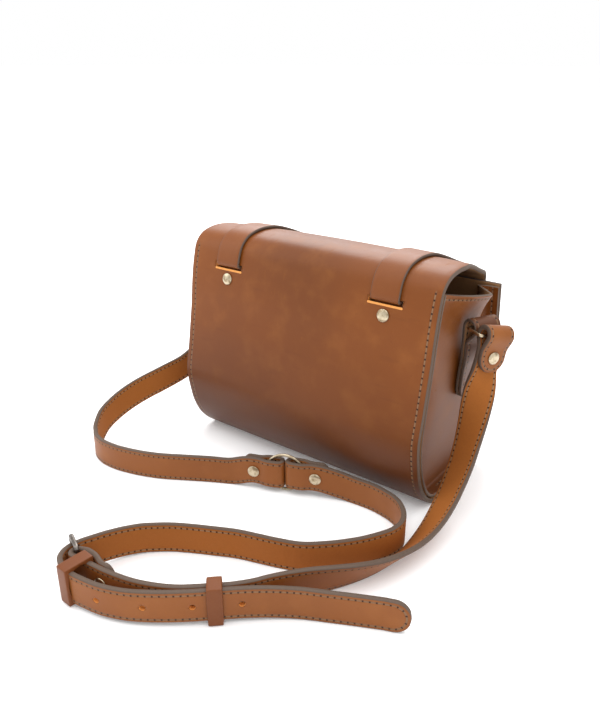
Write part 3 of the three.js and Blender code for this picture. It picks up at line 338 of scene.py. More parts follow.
def leather_band(name, centres, acrosses, halves, thickness, finish, edge=0.7, faces=9,
                 sewn=None, tip_start=0, tip_end=0, grain=1):
    """A band of leather along centres, its cut edges rubbed round. tip_start and tip_end
    are the lengths of rounded ends, and a plain end is only rubbed round."""
    halves = np.broadcast_to(np.asarray(halves, float), (len(centres),)).copy()
    sewn = np.ones(len(centres)) if sewn is None else np.asarray(sewn, float)
    thick = np.ones(len(centres))
    runs = along_of(centres)
    ends = []
    for which, tip in ((0, tip_start), (-1, tip_end)):
        heading = unit(centres[which] - centres[-2 if which else 1])
        reach = tip if tip else edge
        cap = []
        for share in np.sin(np.radians(np.linspace(0, 90, CAP_STEPS + 1)[1:])):
            left = math.sqrt(max(1 - share**2, 0))
            half = halves[which] * left if tip else halves[which] - edge * (1 - left)
            cap.append((
                centres[which] + heading * reach * share,
                half,
                1 if tip and share < 0.97 else left,
                runs[which] + (reach * share if which else -reach * share),
            ))
        ends.append(cap)
    start, end = ends[0][::-1], ends[1]
    centres = np.vstack([[e[0] for e in start], centres, [e[0] for e in end]])
    acrosses = np.vstack([[acrosses[0]] * CAP_STEPS, acrosses, [acrosses[-1]] * CAP_STEPS])
    halves = np.concatenate([[e[1] for e in start], halves, [e[1] for e in end]])
    thick = np.concatenate([[e[2] for e in start], thick, [e[2] for e in end]])
    runs = np.concatenate([[e[3] for e in start], runs, [e[3] for e in end]])
    sewn = np.concatenate([[sewn[0]] * CAP_STEPS, sewn, [sewn[-1]] * CAP_STEPS])
    count = len(centres)
    forward = unit(np.gradient(centres, axis=0))
    acrosses = unit(acrosses - forward * np.sum(acrosses * forward, axis=1, keepdims=True))
    normals = unit(np.cross(acrosses, forward))
    face = np.linspace(1, -1, faces)
    ring = []
    for sign, up in ((1, 1), (-1, -1)):
        for share in face * sign:
            ring.append((share, 0, up, 0))
        for turn in EDGE_TURNS[1:-1]:
            ring.append((-sign, math.cos(turn), up * math.sin(turn), 1))
    ring.append(ring[0])
    places = np.empty((count, len(ring), 3))
    seam = np.empty((count, len(ring), 3))
    side = np.empty((count, len(ring), 3))
    bulge = np.minimum(edge, halves * 0.9)
    for j, (share, reach, lift, painted) in enumerate(ring):
        sideways = share * (halves - bulge) + np.sign(share) * reach * bulge
        height = lift * thickness / 2 * thick
        places[:, j] = centres + acrosses * sideways[:, None] + normals * height[:, None]
        inset = halves - np.abs(sideways)
        seam[:, j] = np.stack([runs / 1000, inset / 1000, sewn], axis=1)
        rubbed = np.maximum(painted, (thick < 0.8) * 1.0)
        facing = np.full(count, np.sign(lift) * grain)
        side[:, j] = np.stack([rubbed, facing, sideways / 1000], axis=1)
    for tip, first, grow, span in (
        (tip_start, CAP_STEPS, -1, range(0, CAP_STEPS)),
        (tip_end, count - CAP_STEPS - 1, 1, range(count - CAP_STEPS, count)),
    ):
        if not tip:
            continue
        for i in span:
            beyond = abs(runs[i] - runs[first]) / tip
            for j in range(len(ring)):
                across = abs(side[i, j, 2]) * 1000 / halves[first]
                away = 1 - math.hypot(beyond, across)
                seam[i, j, 1] = away * min(tip, halves[first]) / 1000
                seam[i, j, 0] = (runs[first] + grow * math.atan2(beyond, across) * tip * 0.8) / 1000
    return rolled_leather(name, places, seam, side, finish)


bag_width = 197
bag_height = 158
sheet_thickness = 3
taper_depth = 13.5
corner_radius = 18

# The outer face of the sheet in mm, y and z, from the front rim to the end of the flap.
sheet_way = (
    (49.9, 132.4), (51.5, 117.4), (53.1, 103.0), (54.9, 89.0), (56.7, 73.8), (57.9, 59.7),
    (57.8, 45.2), (56.9, 37.1), (54.8, 28.2), (52.8, 22.6), (50.7, 18.5), (47.6, 13.9), (44.1, 9.8),
    (39.5, 5.5), (35.8, 2.8), (32.6, 1.0), (30.1, 0.0), (29.1, 0.0), (14.3, 0.0), (0.0, 0.0),
    (-14.2, 0.0), (-29.1, 0.0), (-30.0, 0.0), (-30.9, 0.3), (-33.4, 1.6), (-35.8, 3.1), (-39.5, 6.2),
    (-44.0, 11.0), (-46.7, 14.5), (-49.5, 19.2), (-52.2, 25.1), (-54.4, 31.8), (-57.2, 45.4),
    (-58.0, 53.0), (-57.9, 57.4), (-57.3, 61.2), (-54.4, 75.6), (-52.0, 89.6), (-49.4, 104.7),
    (-47.6, 119.2), (-45.2, 133.6), (-42.5, 144.5), (-41.5, 147.5), (-40.6, 149.3), (-39.7, 150.5),
    (-38.4, 152.0), (-36.9, 153.4), (-35.2, 154.6), (-33.5, 155.6), (-31.9, 156.2), (-29.7, 156.9),
    (-25.4, 157.7), (-19.4, 158.3), (-11.6, 158.0), (-4.5, 157.1), (2.6, 155.4), (16.0, 150.8),
    (29.5, 145.7), (42.8, 141.0), (48.0, 139.1), (48.9, 138.5), (50.7, 137.2), (52.0, 136.0),
    (53.2, 134.5), (54.0, 133.3), (54.4, 132.4), (54.8, 131.0), (55.1, 129.6), (55.3, 126.4),
    (55.7, 114.6), (57.6, 99.5), (59.4, 85.1), (60.8, 70.6), (61.4, 58.5), (61.1, 55.6), (58.6, 41.5),
    (57.9, 34.8),
)

sheet_line = smooth_way([(0, y, z) for y, z in sheet_way], 2.2)
sheet_line[:, 2] = np.maximum(sheet_line[:, 2], 0)
sheet_runs = along_of(sheet_line)
sheet_heading = unit(np.gradient(sheet_line, axis=0))
sheet_out = np.stack([sheet_heading[:, 0] * 0, -sheet_heading[:, 2], sheet_heading[:, 1]], axis=1)
front_rim_run = 1.7
taper_start_run = 396.7
taper_end_run = 470.3
flap_end_run = 540.1
back_rim_run = 363.9
slit_run = 352.9


def on_sheet(run, x, depth):
    """Place at a run along the sheet, x across it and depth below its outer face."""
    y = np.interp(run, sheet_runs, sheet_line[:, 1])
    z = np.interp(run, sheet_runs, sheet_line[:, 2])
    out_y = np.interp(run, sheet_runs, sheet_out[:, 1])
    out_z = np.interp(run, sheet_runs, sheet_out[:, 2])
    across = 1 - (2 * x / bag_width) ** 2
    rise = np.clip((z - bag_height * 0.78) / (bag_height * 0.22), 0, 1)
    lift = 2 * across * rise**2 * (3 - 2 * rise)
    swell = 2 * across * np.sin(np.pi * z / bag_height) * np.sign(y)
    return np.array([x, y - out_y * depth + swell, z - out_z * depth + lift])


def sheet_half(run):
    """Half of the sheet's width. The flap narrows, and its two corners are cut round."""
    taper = taper_depth * np.clip((run - taper_start_run) / (taper_end_run - taper_start_run), 0, 1)
    reach = max(corner_radius - (flap_end_run - run), 0)
    corner = corner_radius - math.sqrt(max(corner_radius**2 - reach**2, 0))
    return bag_width / 2 - taper - corner


def sheet_piece(name, finish):
    """The sheet as a closed shell: grain side, rubbed edge, flesh side, rubbed edge."""
    edge = 0.9
    quarter = np.radians(np.linspace(0, 90, 5))
    corner_start = flap_end_run - corner_radius
    runs = [0.05 + edge * (1 - math.cos(a)) for a in quarter]
    runs += list(np.arange(2.5, corner_start, 2.4))
    runs += list(corner_start + 17 * np.sin(np.radians(np.linspace(0, 90, 14))))
    runs += [flap_end_run - edge * (1 - math.sin(a)) for a in quarter]
    thick = [math.sin(a) for a in quarter]
    thick += [1] * (len(runs) - 2 * len(quarter))
    thick += [math.cos(a) for a in quarter]
    face = np.linspace(1, -1, 49)
    ring = [(share, 0, 0) for share in face]
    turns = np.radians(np.linspace(0, 180, 9))[1:-1]
    ring += [(-1, math.sin(a), (1 - math.cos(a)) / 2) for a in turns]
    ring += [(-share, 0, 1) for share in face]
    ring += [(1, math.sin(a), (1 + math.cos(a)) / 2) for a in turns]
    ring.append(ring[0])
    places = np.empty((len(runs), len(ring), 3))
    seam = np.empty((len(runs), len(ring), 3))
    side = np.empty((len(runs), len(ring), 3))
    for i, run in enumerate(runs):
        half = sheet_half(run)
        sewn = 1 if front_rim_run < run < back_rim_run else 0
        for j, (share, reach, deep) in enumerate(ring):
            x = share * (half - edge) + math.copysign(reach * edge, share)
            depth = sheet_thickness * (0.5 + (deep - 0.5) * thick[i])
            places[i, j] = on_sheet(run, x, depth)
            seam[i, j] = (run / 1000, (half - abs(x)) / 1000, sewn)
            painted = 1 if reach or thick[i] < 0.9 else 0
            side[i, j] = (painted, 1 if deep < 0.5 else -1, x / 1000)
    return rolled_leather(name, places, seam, side, finish)


# The sheet gets painted shade towards the table (shade=0.9).
sheet_leather = leather(
    "sheet_leather", (0.178, 0.047, 0.004, 1), (0.062, 0.015, 0.002, 1), (0.29, 0.1, 0.018, 1),
    inner=SUEDE, stitch_pitch=0.0039, stitch_row=0.0046, shade=0.9,
)
cut_leather = Finish("raw_cut")
raw = cut_leather.blend(cut_leather.noise(900), (0.82, 0.36, 0.09, 1), (0.6, 0.23, 0.05, 1))
cut_leather.feed(Base_Color=raw)
cut_leather.shader.inputs["Roughness"].default_value = 0.85

body = sheet_piece("body_sheet", sheet_leather)
body.data.materials.append(cut_leather.material)


def cut_from(piece, tools):
    """Cuts tools out of a piece. The cut shows the raw fibre of the leather."""
    for tool in tools:
        bpy.ops.object.select_all(action="DESELECT")
        bpy.context.view_layer.objects.active = piece
        piece.select_set(True)
        tool.data.materials.append(piece.data.materials[0])
        tool.data.materials.append(cut_leather.material)
        for face in tool.data.polygons:
            face.material_index = 1
        cut = piece.modifiers.new("cut", "BOOLEAN")
        cut.operation = "DIFFERENCE"
        cut.solver = "EXACT"
        cut.object = tool
        bpy.ops.object.modifier_apply(modifier="cut")
        bpy.data.objects.remove(tool)


belt_inset = 35.5
belt_places = [side * (bag_width / 2 - belt_inset) for side in (1, -1)]
slit_tools = []
for x in belt_places:
    here = on_sheet(slit_run - 0.5, x, 1.5)
    out = unit(on_sheet(slit_run, x, 0) - on_sheet(slit_run, x, 1))
    tilt = math.atan2(out[2], -out[1])
    bpy.ops.mesh.primitive_cube_add(
        size=1, location=here / 1000, rotation=(-tilt, 0, 0), scale=(0.0236, 0.012, 0.004)
    )
    slit_tools.append(bpy.context.object)
cut_from(body, slit_tools)
for word, x in zip(("right", "left"), belt_places):
    spots = np.linspace(x - 11.6, x + 11.6, 13)
    lip_line = np.array([on_sheet(slit_run - 2.9, spot, -0.02) for spot in spots])
    lip_up = [on_sheet(slit_run - 2, spot, 0) - on_sheet(slit_run - 4, spot, 0) for spot in spots]
    lip = leather_band(
        f"slit_lip_{word}", lip_line, unit(np.array(lip_up)), 0.7, 0.3, cut_leather.material,
        edge=0.12, faces=3, sewn=np.zeros(len(spots)), tip_start=0.6, tip_end=0.6,
    )
    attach(lip, "root")
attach(body, "root")
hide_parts("body_wrap")


# Gussets: a 2.2 mm side panel each, its edge folded outwards as a flange under the body
# sheet and saddle-stitched to it. The rim is bare and sags from the back to the front,
# where the soft leather creases.
# The gussets get painted shade towards the table (shade=0.6).
gusset_leather = leather(
    "gusset_leather", (0.16, 0.044, 0.005, 1), (0.07, 0.018, 0.003, 1), (0.28, 0.1, 0.025, 1),
    inner=SUEDE, stitch_pitch=0.0039, stitch_row=0.0042, shade=0.6,
)


def smooth_copy(node, name, finish, levels=2, rounded=0.0, corner=35):
    """A piece with the shape of a CAD node, its edges rounded and its faces made even."""
    bpy.ops.object.select_all(action="DESELECT")
    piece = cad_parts[node].copy()
    piece.data = piece.data.copy()
    piece.parent = None
    for key in list(piece.keys()):
        del piece[key]
    piece.name = name
    piece.data.name = name
    bpy.context.scene.collection.objects.link(piece)
    piece.select_set(True)
    bpy.context.view_layer.objects.active = piece
    bpy.ops.object.mode_set(mode="EDIT")
    bpy.ops.mesh.select_all(action="SELECT")
    bpy.ops.mesh.remove_doubles(threshold=0.00002)
    bpy.ops.mesh.customdata_custom_splitnormals_clear()
    bpy.ops.mesh.tris_convert_to_quads(
        face_threshold=math.radians(40), shape_threshold=math.radians(60)
    )
    bpy.ops.object.mode_set(mode="OBJECT")
    if rounded:
        bevel = piece.modifiers.new("rounded", "BEVEL")
        bevel.width = rounded
        bevel.segments = 2
        bevel.angle_limit = math.radians(corner)
        bpy.ops.object.modifier_apply(modifier="rounded")
    if levels:
        even = piece.modifiers.new("even", "SUBSURF")
        even.levels = levels
        even.render_levels = levels
        bpy.ops.object.modifier_apply(modifier="even")
    bpy.ops.object.shade_smooth()
    piece.data.materials.clear()
    piece.data.materials.append(finish)
    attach(piece, "root")
    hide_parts(node)
    return piece


for word, hand in (("right", 1), ("left", -1)):
    gusset = smooth_copy(f"gusset_{word}", f"gusset_panel_{word}", gusset_leather, 2, 0.0004, 50)
    mesh = gusset.data
    count = len(mesh.vertices)
    spots = np.empty(count * 3, np.float32)
    mesh.vertices.foreach_get("co", spots)
    spots = spots.reshape(-1, 3) * 1000
    facing = np.empty(count * 3, np.float32)
    mesh.vertex_normals.foreach_get("vector", facing)
    facing = facing.reshape(-1, 3)
    nearest = np.array([
        int(np.argmin((sheet_line[:, 1] - y) ** 2 + (sheet_line[:, 2] - z) ** 2))
        for _, y, z in spots
    ])
    run = sheet_runs[nearest]
    flange = (np.abs(spots[:, 0]) > 91.5) & (
        np.hypot(sheet_line[nearest, 1] - spots[:, 1], sheet_line[nearest, 2] - spots[:, 2]) < 5.75
    )
    share = np.clip((spots[:, 1] + 42) / 88, 0, 1)
    rim = 148 - 16.5 * share - 8 * share * (1 - share)
    below = rim - spots[:, 2]
    middle = np.stack([spots[:, 0] * 0, -spots[:, 1], 78 - spots[:, 2]], axis=1)
    grain = np.where(flange, np.sum(facing * unit(middle), axis=1), facing[:, 0] * hand)
    inset = np.where(flange, 98.2 - np.abs(spots[:, 0]), below)
    along = np.where(flange, run, spots[:, 1])
    rim_edge = (facing[:, 2] > 0.75) & (below < 4)
    bare = np.where(flange & (np.abs(spots[:, 0]) > 97.7), np.abs(facing[:, 0]), rim_edge)
    seam = np.stack([along / 1000, inset / 1000, grain > 0], axis=1)
    side = np.stack([bare, np.sign(grain), along / 1000], axis=1)
    for word_of, values in (("seam", seam), ("side", side)):
        attribute = mesh.attributes.new(word_of, "FLOAT_VECTOR", "POINT")
        attribute.data.foreach_set("vector", values.astype(np.float32).ravel())


# Closure belts: 20 mm straps, 2 mm thick, that are riveted inside the back panel, come
# out through the slits, run over the top and down the flap, and end on studs in front.
belt_leather = leather(
    "belt_leather", (0.18, 0.051, 0.009, 1), (0.1, 0.028, 0.005, 1), (0.26, 0.092, 0.026, 1),
    inner=SUEDE,
)
belt_end_run = 554.2
belt_depth = 1.3
belt_half = 10
belt_thickness = 2
for word, x in zip(("right", "left"), belt_places):
    inside = sheet_thickness + belt_depth
    way = [
        (slit_run - 21, inside), (slit_run - 10, inside), (slit_run - 1.6, inside),
        (slit_run - 0.3, inside - 0.5), (slit_run, inside - 1.2), (slit_run, 1.5),
        (slit_run, -belt_depth + 1.2), (slit_run + 0.3, -belt_depth + 0.5),
        (slit_run + 1.6, -belt_depth),
    ]
    way += [(run, -belt_depth) for run in np.arange(slit_run + 4, belt_end_run, 2.5)]
    way += [(belt_end_run, -belt_depth)]
    centres = np.array([on_sheet(run, x, depth) for run, depth in way])
    acrosses = unit(np.array([
        on_sheet(run, x + 9, depth) - on_sheet(run, x - 9, depth) for run, depth in way
    ]))
    belt = leather_band(
        f"belt_{word}", centres, acrosses, belt_half, belt_thickness, belt_leather, edge=0.6,
        sewn=np.zeros(len(way)), tip_end=belt_half,
    )
    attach(belt, "root")
    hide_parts(f"closure_belt_{word}")


# Rivets and studs: spun brass caps with an antique finish, domed, their rims rolled under.
# The recesses have kept a brown patina and the crowns are rubbed bright.
def metal(name, bright, dull, rough):
    finish = Finish(name)
    patina = finish.noise(330, 4).step(0.42, 0.7)
    fine = finish.noise(2600, 3)
    finish.feed(
        Base_Color=finish.blend(patina, bright, dull),
        Roughness=patina * 0.16 + fine * 0.12 + rough,
    )
    finish.shader.inputs["Metallic"].default_value = 1
    bump = finish.add("ShaderNodeBump", {}, {"Strength": 0.2, "Distance": 0.0002, "Height": fine})
    finish.feed(Normal=bump.out("Normal"))
    return finish.material


brass = metal("antique_brass", (0.52, 0.44, 0.31, 1), (0.24, 0.175, 0.1, 1), 0.22)
steel = metal("dark_nickel", (0.17, 0.15, 0.135, 1), (0.075, 0.06, 0.05, 1), 0.26)
for node in (
    "back_rivet_right", "back_rivet_left", "closure_stud_right", "closure_stud_left",
    "strap_rivet_middle_left", "strap_rivet_middle_right", "strap_rivet_end_left",
    "strap_rivet_end_right", "strap_rivet_buckle",
):
    cap = smooth_copy(node, f"{node}_cap", brass, 2, 0.0002, 50)


# Ring tabs: 20 mm straps of darker leather, folded over a ring and sewn and riveted to
# the gussets, both ends cut round.
tab_leather = leather(
    "tab_leather", (0.12, 0.043, 0.018, 1), (0.07, 0.024, 0.01, 1), (0.18, 0.075, 0.035, 1),
    inner=SUEDE,
)

# Stations in mm: x, y and z of the middle of the leather, then its direction across.
tab_way = (
    (94.4, 10.5, 72.8, 0.05, 1, 0), (95.1, 10.5, 85.3, 0.05, 1, 0), (96.7, 10.4, 91.6, 0.16, 0.99, 0),
    (98.4, 10.2, 97.9, 0.37, 0.93, 0), (99.3, 10, 104.2, 0.47, 0.88, 0),
    (99.3, 10, 115.2, 0.47, 0.88, 0), (99.5, 9.9, 116.9, 0.47, 0.88, 0),
    (100.3, 9.5, 118.4, 0.47, 0.88, 0), (101.4, 8.9, 119.6, 0.47, 0.88, 0),
    (102.8, 8.2, 120.4, 0.47, 0.88, 0), (104.3, 7.3, 120.6, 0.47, 0.88, 0),
    (105.8, 6.5, 120.2, 0.47, 0.88, 0), (107.2, 5.8, 119.3, 0.47, 0.88, 0),
    (108.2, 5.3, 117.9, 0.47, 0.88, 0), (108.7, 5, 116.3, 0.47, 0.88, 0),
    (108.8, 5, 114.5, 0.47, 0.88, 0), (108.4, 5.2, 112.9, 0.47, 0.88, 0),
    (107.5, 5.7, 111.4, 0.47, 0.88, 0), (101.6, 9.9, 104.2, 0.47, 0.88, 0),
    (100.7, 10.1, 97.9, 0.37, 0.93, 0), (99, 10.3, 91.6, 0.16, 0.99, 0),
    (97.4, 10.4, 85.3, 0.05, 1, 0), (96.7, 10.4, 72.8, 0.05, 1, 0),
)

tab_half = 10
for word, hand in (("right", 1), ("left", -1)):
    stations = smooth_way(tab_way, 1.6)
    stations[:, 0] *= hand
    stations[:, 3] *= hand
    tab = leather_band(
        f"tab_{word}", stations[:, :3], unit(stations[:, 3:]), tab_half, 2, tab_leather,
        edge=0.6, tip_start=tab_half, tip_end=tab_half, grain=-hand,
    )
    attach(tab, "root")
    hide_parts(f"ring_tab_{word}")

# Rings: brass wire, 2.5 mm, bent and brazed. The side rings are oblong, and the round
# middle ring joins two lengths of the strap on the table.
for node in ("side_ring_right", "side_ring_left", "middle_ring"):
    ring = smooth_copy(node, f"{node}_wire", brass, 2)


# Strap: two layers of leather, glued flesh to flesh and sewn along both edges, 20 mm wide
# and 3.2 mm thick, in three lengths. Each end is folded round its ring and riveted.
# Its lower edge stands on the table, so the bag carries no weight of it.
strap_leather = leather(
    "strap_leather", (0.228, 0.07, 0.012, 1), (0.125, 0.034, 0.005, 1), (0.3, 0.108, 0.026, 1),
    inner=(0.33, 0.105, 0.018, 1), stitch_pitch=0.0036, stitch_row=0.0023,
    thread_inside=PALE_THREAD,
)
strap_half = 10
strap_thickness = 3.2

# Stations in mm, as for the tabs, from each folded end to the other or to the free tip.
left_way = (
    (-12.8, -84.7, 13.7, 0, 0, 1), (-5.4, -81.7, 13.7, 0, 0, 1), (-1.7, -78.6, 13.7, 0, 0, 1),
    (5.2, -75.9, 13.7, 0, 0, 1), (6.4, -75.6, 13.7, 0, 0, 1), (7.7, -75.9, 13.7, 0, 0, 1),
    (8.7, -76.6, 13.7, 0, 0, 1), (9.4, -77.6, 13.7, 0, 0, 1), (9.6, -78.9, 13.7, 0, 0, 1),
    (9.4, -80.1, 13.7, 0, 0, 1), (8.7, -81.2, 13.7, 0, 0, 1), (7.6, -81.9, 13.7, 0, 0, 1),
    (0.7, -84.7, 13.7, 0, 0, 1), (-4.1, -85, 13.7, 0, 0, 1), (-11.5, -88, 13.7, 0, 0, 1),
    (-24, -92.5, 10, 0, 0, 1), (-37, -99.5, 10, 0, 0, 1), (-52.9, -108.8, 10, 0, 0, 1),
    (-62.3, -114.4, 10, 0, 0, 1), (-71, -119, 10, 0, 0, 1), (-81.8, -123.3, 10, 0, 0, 1),
    (-92.1, -126.4, 10, 0, 0, 1), (-102, -128.5, 10, 0, 0, 1), (-114, -129, 10, 0, 0, 1),
    (-122.3, -127.4, 10, 0, 0, 1), (-126, -126, 10, 0, 0, 1), (-128.9, -124.4, 10.2, 0, 0.02, 1),
    (-131.5, -122.4, 10.4, 0, 0.04, 1), (-134, -120, 11, 0, 0, 1),
    (-137.3, -115.7, 12.7, 0.01, -0.06, 1), (-143, -105, 17.1, 0, -0.19, 0.98),
    (-146.3, -91.2, 20.5, -0.07, -0.21, 0.98), (-147, -76.9, 23.7, -0.13, -0.23, 0.96),
    (-145, -63, 27, -0.19, -0.27, 0.95), (-140.5, -50.2, 30.6, -0.24, -0.34, 0.91),
    (-135.7, -38.1, 34.5, -0.26, -0.48, 0.84), (-133.3, -32.3, 36.6, -0.24, -0.57, 0.78),
    (-131, -27, 39.3, -0.21, -0.66, 0.72), (-128.9, -22.2, 42.7, -0.18, -0.74, 0.64),
    (-127, -17.9, 46.6, -0.13, -0.82, 0.56), (-125, -14, 51.1, -0.08, -0.88, 0.47),
    (-123, -10.4, 56.4, -0.02, -0.93, 0.36), (-121, -7.4, 62.1, 0.05, -0.97, 0.25),
    (-119, -5, 68.3, 0.14, -0.98, 0.17), (-116.4, -3.5, 75.6, 0.25, -0.96, 0.16),
    (-113.8, -2.8, 83.2, 0.38, -0.91, 0.18), (-112.2, -2.1, 90.4, 0.46, -0.87, 0.19),
    (-113.6, 0.5, 105.2, 0.46, -0.87, 0.19), (-111.8, 3, 112.3, 0.46, -0.87, 0.19),
    (-111.7, 3.4, 113.8, 0.46, -0.87, 0.19), (-112, 3.6, 115.3, 0.46, -0.87, 0.19),
    (-112.7, 3.5, 116.7, 0.46, -0.87, 0.19), (-113.7, 3.2, 117.8, 0.46, -0.87, 0.19),
    (-115, 2.6, 118.5, 0.46, -0.87, 0.19), (-116.4, 2, 118.7, 0.46, -0.87, 0.19),
    (-117.7, 1.2, 118.5, 0.46, -0.87, 0.19), (-118.8, 0.5, 117.8, 0.46, -0.87, 0.19),
    (-119.7, -0.2, 116.7, 0.46, -0.87, 0.19), (-120.1, -0.8, 115.3, 0.46, -0.87, 0.19),
    (-120.2, -1.1, 113.8, 0.46, -0.87, 0.19), (-119.8, -1.2, 112.3, 0.46, -0.87, 0.19),
    (-116.7, -1.2, 105.2, 0.46, -0.87, 0.19), (-116.2, -2, 100.2, 0.46, -0.87, 0.19),
)

adjust_way = (
    (33.5, -66, 14.5, 0, 0, 1), (26.1, -69, 14.5, 0, 0, 1), (21.3, -69.3, 14.5, 0, 0, 1),
    (14.4, -72.1, 14.5, 0, 0, 1), (13.3, -72.8, 14.5, 0, 0, 1), (12.6, -73.9, 14.5, 0, 0, 1),
    (12.4, -75.1, 14.5, 0, 0, 1), (12.6, -76.4, 14.5, 0, 0, 1), (13.3, -77.4, 14.5, 0, 0, 1),
    (14.3, -78.1, 14.5, 0, 0, 1), (15.6, -78.4, 14.5, 0, 0, 1), (16.8, -78.1, 14.5, 0, 0, 1),
    (23.7, -75.4, 14.5, 0, 0, 1), (27.4, -72.3, 14.5, 0, 0, 1), (34.8, -69.3, 14.5, 0, 0, 1),
    (47.9, -63.5, 11.4, 0, 0, 1), (55, -61.5, 10, 0, 0, 1), (69.9, -60.7, 10, 0, 0, 1),
    (82.4, -62.6, 10, 0, 0, 1), (87.5, -64.2, 10, 0, 0, 1), (92, -66.5, 10, 0, 0, 1),
    (95.5, -69.3, 10, 0, 0, 1), (98.6, -72.6, 10, 0, 0, 1), (101, -76, 10, 0, 0, 1),
    (102.5, -78.9, 10, 0, 0, 1), (103.5, -81.9, 10, 0, 0, 1), (104, -85, 10, 0, 0, 1),
    (104, -88.3, 10, 0, 0, 1), (102.5, -95, 10, 0, 0, 1), (96, -107, 10, 0, 0, 1),
    (89.7, -115.7, 10, 0, 0, 1), (80.9, -125.4, 10, 0, 0, 1), (69, -135.5, 10, 0, 0, 1),
    (56.4, -140.9, 10, 0, 0, 1), (44, -145, 10, 0, 0, 1), (32, -149, 10, 0, 0, 1),
    (17.8, -155.9, 10, 0, 0, 1), (5.7, -162.2, 10, 0, 0, 1), (-4, -168, 10, 0, 0, 1),
    (-13.2, -175.7, 10.2, 0, 0, 1), (-17, -180, 10.5, 0, 0, 1), (-22, -188.6, 11.2, 0, 0, 1),
    (-25.6, -197.1, 11.9, 0, 0, 1), (-28, -205, 12.6, 0, 0, 1), (-28.9, -207.8, 12.8, 0, 0, 1),
    (-29.6, -210.4, 13, 0, 0, 1), (-30.2, -213, 13.1, 0, 0, 1), (-30.6, -215.2, 13.1, 0, 0, 1),
    (-30.9, -217.4, 13.1, 0, 0, 1), (-30.8, -219.5, 13.1, 0, 0, 1), (-30.3, -221.8, 13.1, 0, 0, 1),
    (-29.3, -224, 13.1, 0, 0, 1), (-28, -226, 13.1, 0, 0, 1), (-26.2, -227.7, 13.1, 0, 0, 1),
    (-23.9, -229, 13.1, 0, 0, 1), (-21.5, -230, 13.1, 0, 0, 1), (-18.8, -230.7, 13, 0, 0, 1),
    (-15.9, -230.9, 12.8, 0, 0, 1), (-13, -231, 12.6, 0, 0, 1), (-10.1, -230.9, 12.4, 0, 0, 1),
    (-7.1, -230.5, 12.2, 0, 0, 1), (4.6, -228.3, 11.9, 0, 0, 1), (13.6, -225.4, 11.9, 0, 0, 1),
    (23, -221, 12, 0, 0, 1), (34.7, -213.4, 12.2, 0, 0, 1), (46.1, -204.4, 12.3, 0, 0, 1),
    (57, -194.5, 12.3, 0, 0, 1), (68.3, -183.7, 11.9, 0, 0, 1), (79.5, -173.9, 11.1, 0, 0, 1),
    (91, -165.5, 10.3, 0, 0, 1), (103.6, -158.7, 10, 0, 0, 1), (116.4, -152.2, 10, 0, 0, 1),
    (128, -146.5, 10, 0, 0, 1), (130.2, -145.5, 10, 0, 0, 1), (132.1, -144.8, 10, 0, 0, 1),
    (134, -144, 10, 0, 0, 1),
)

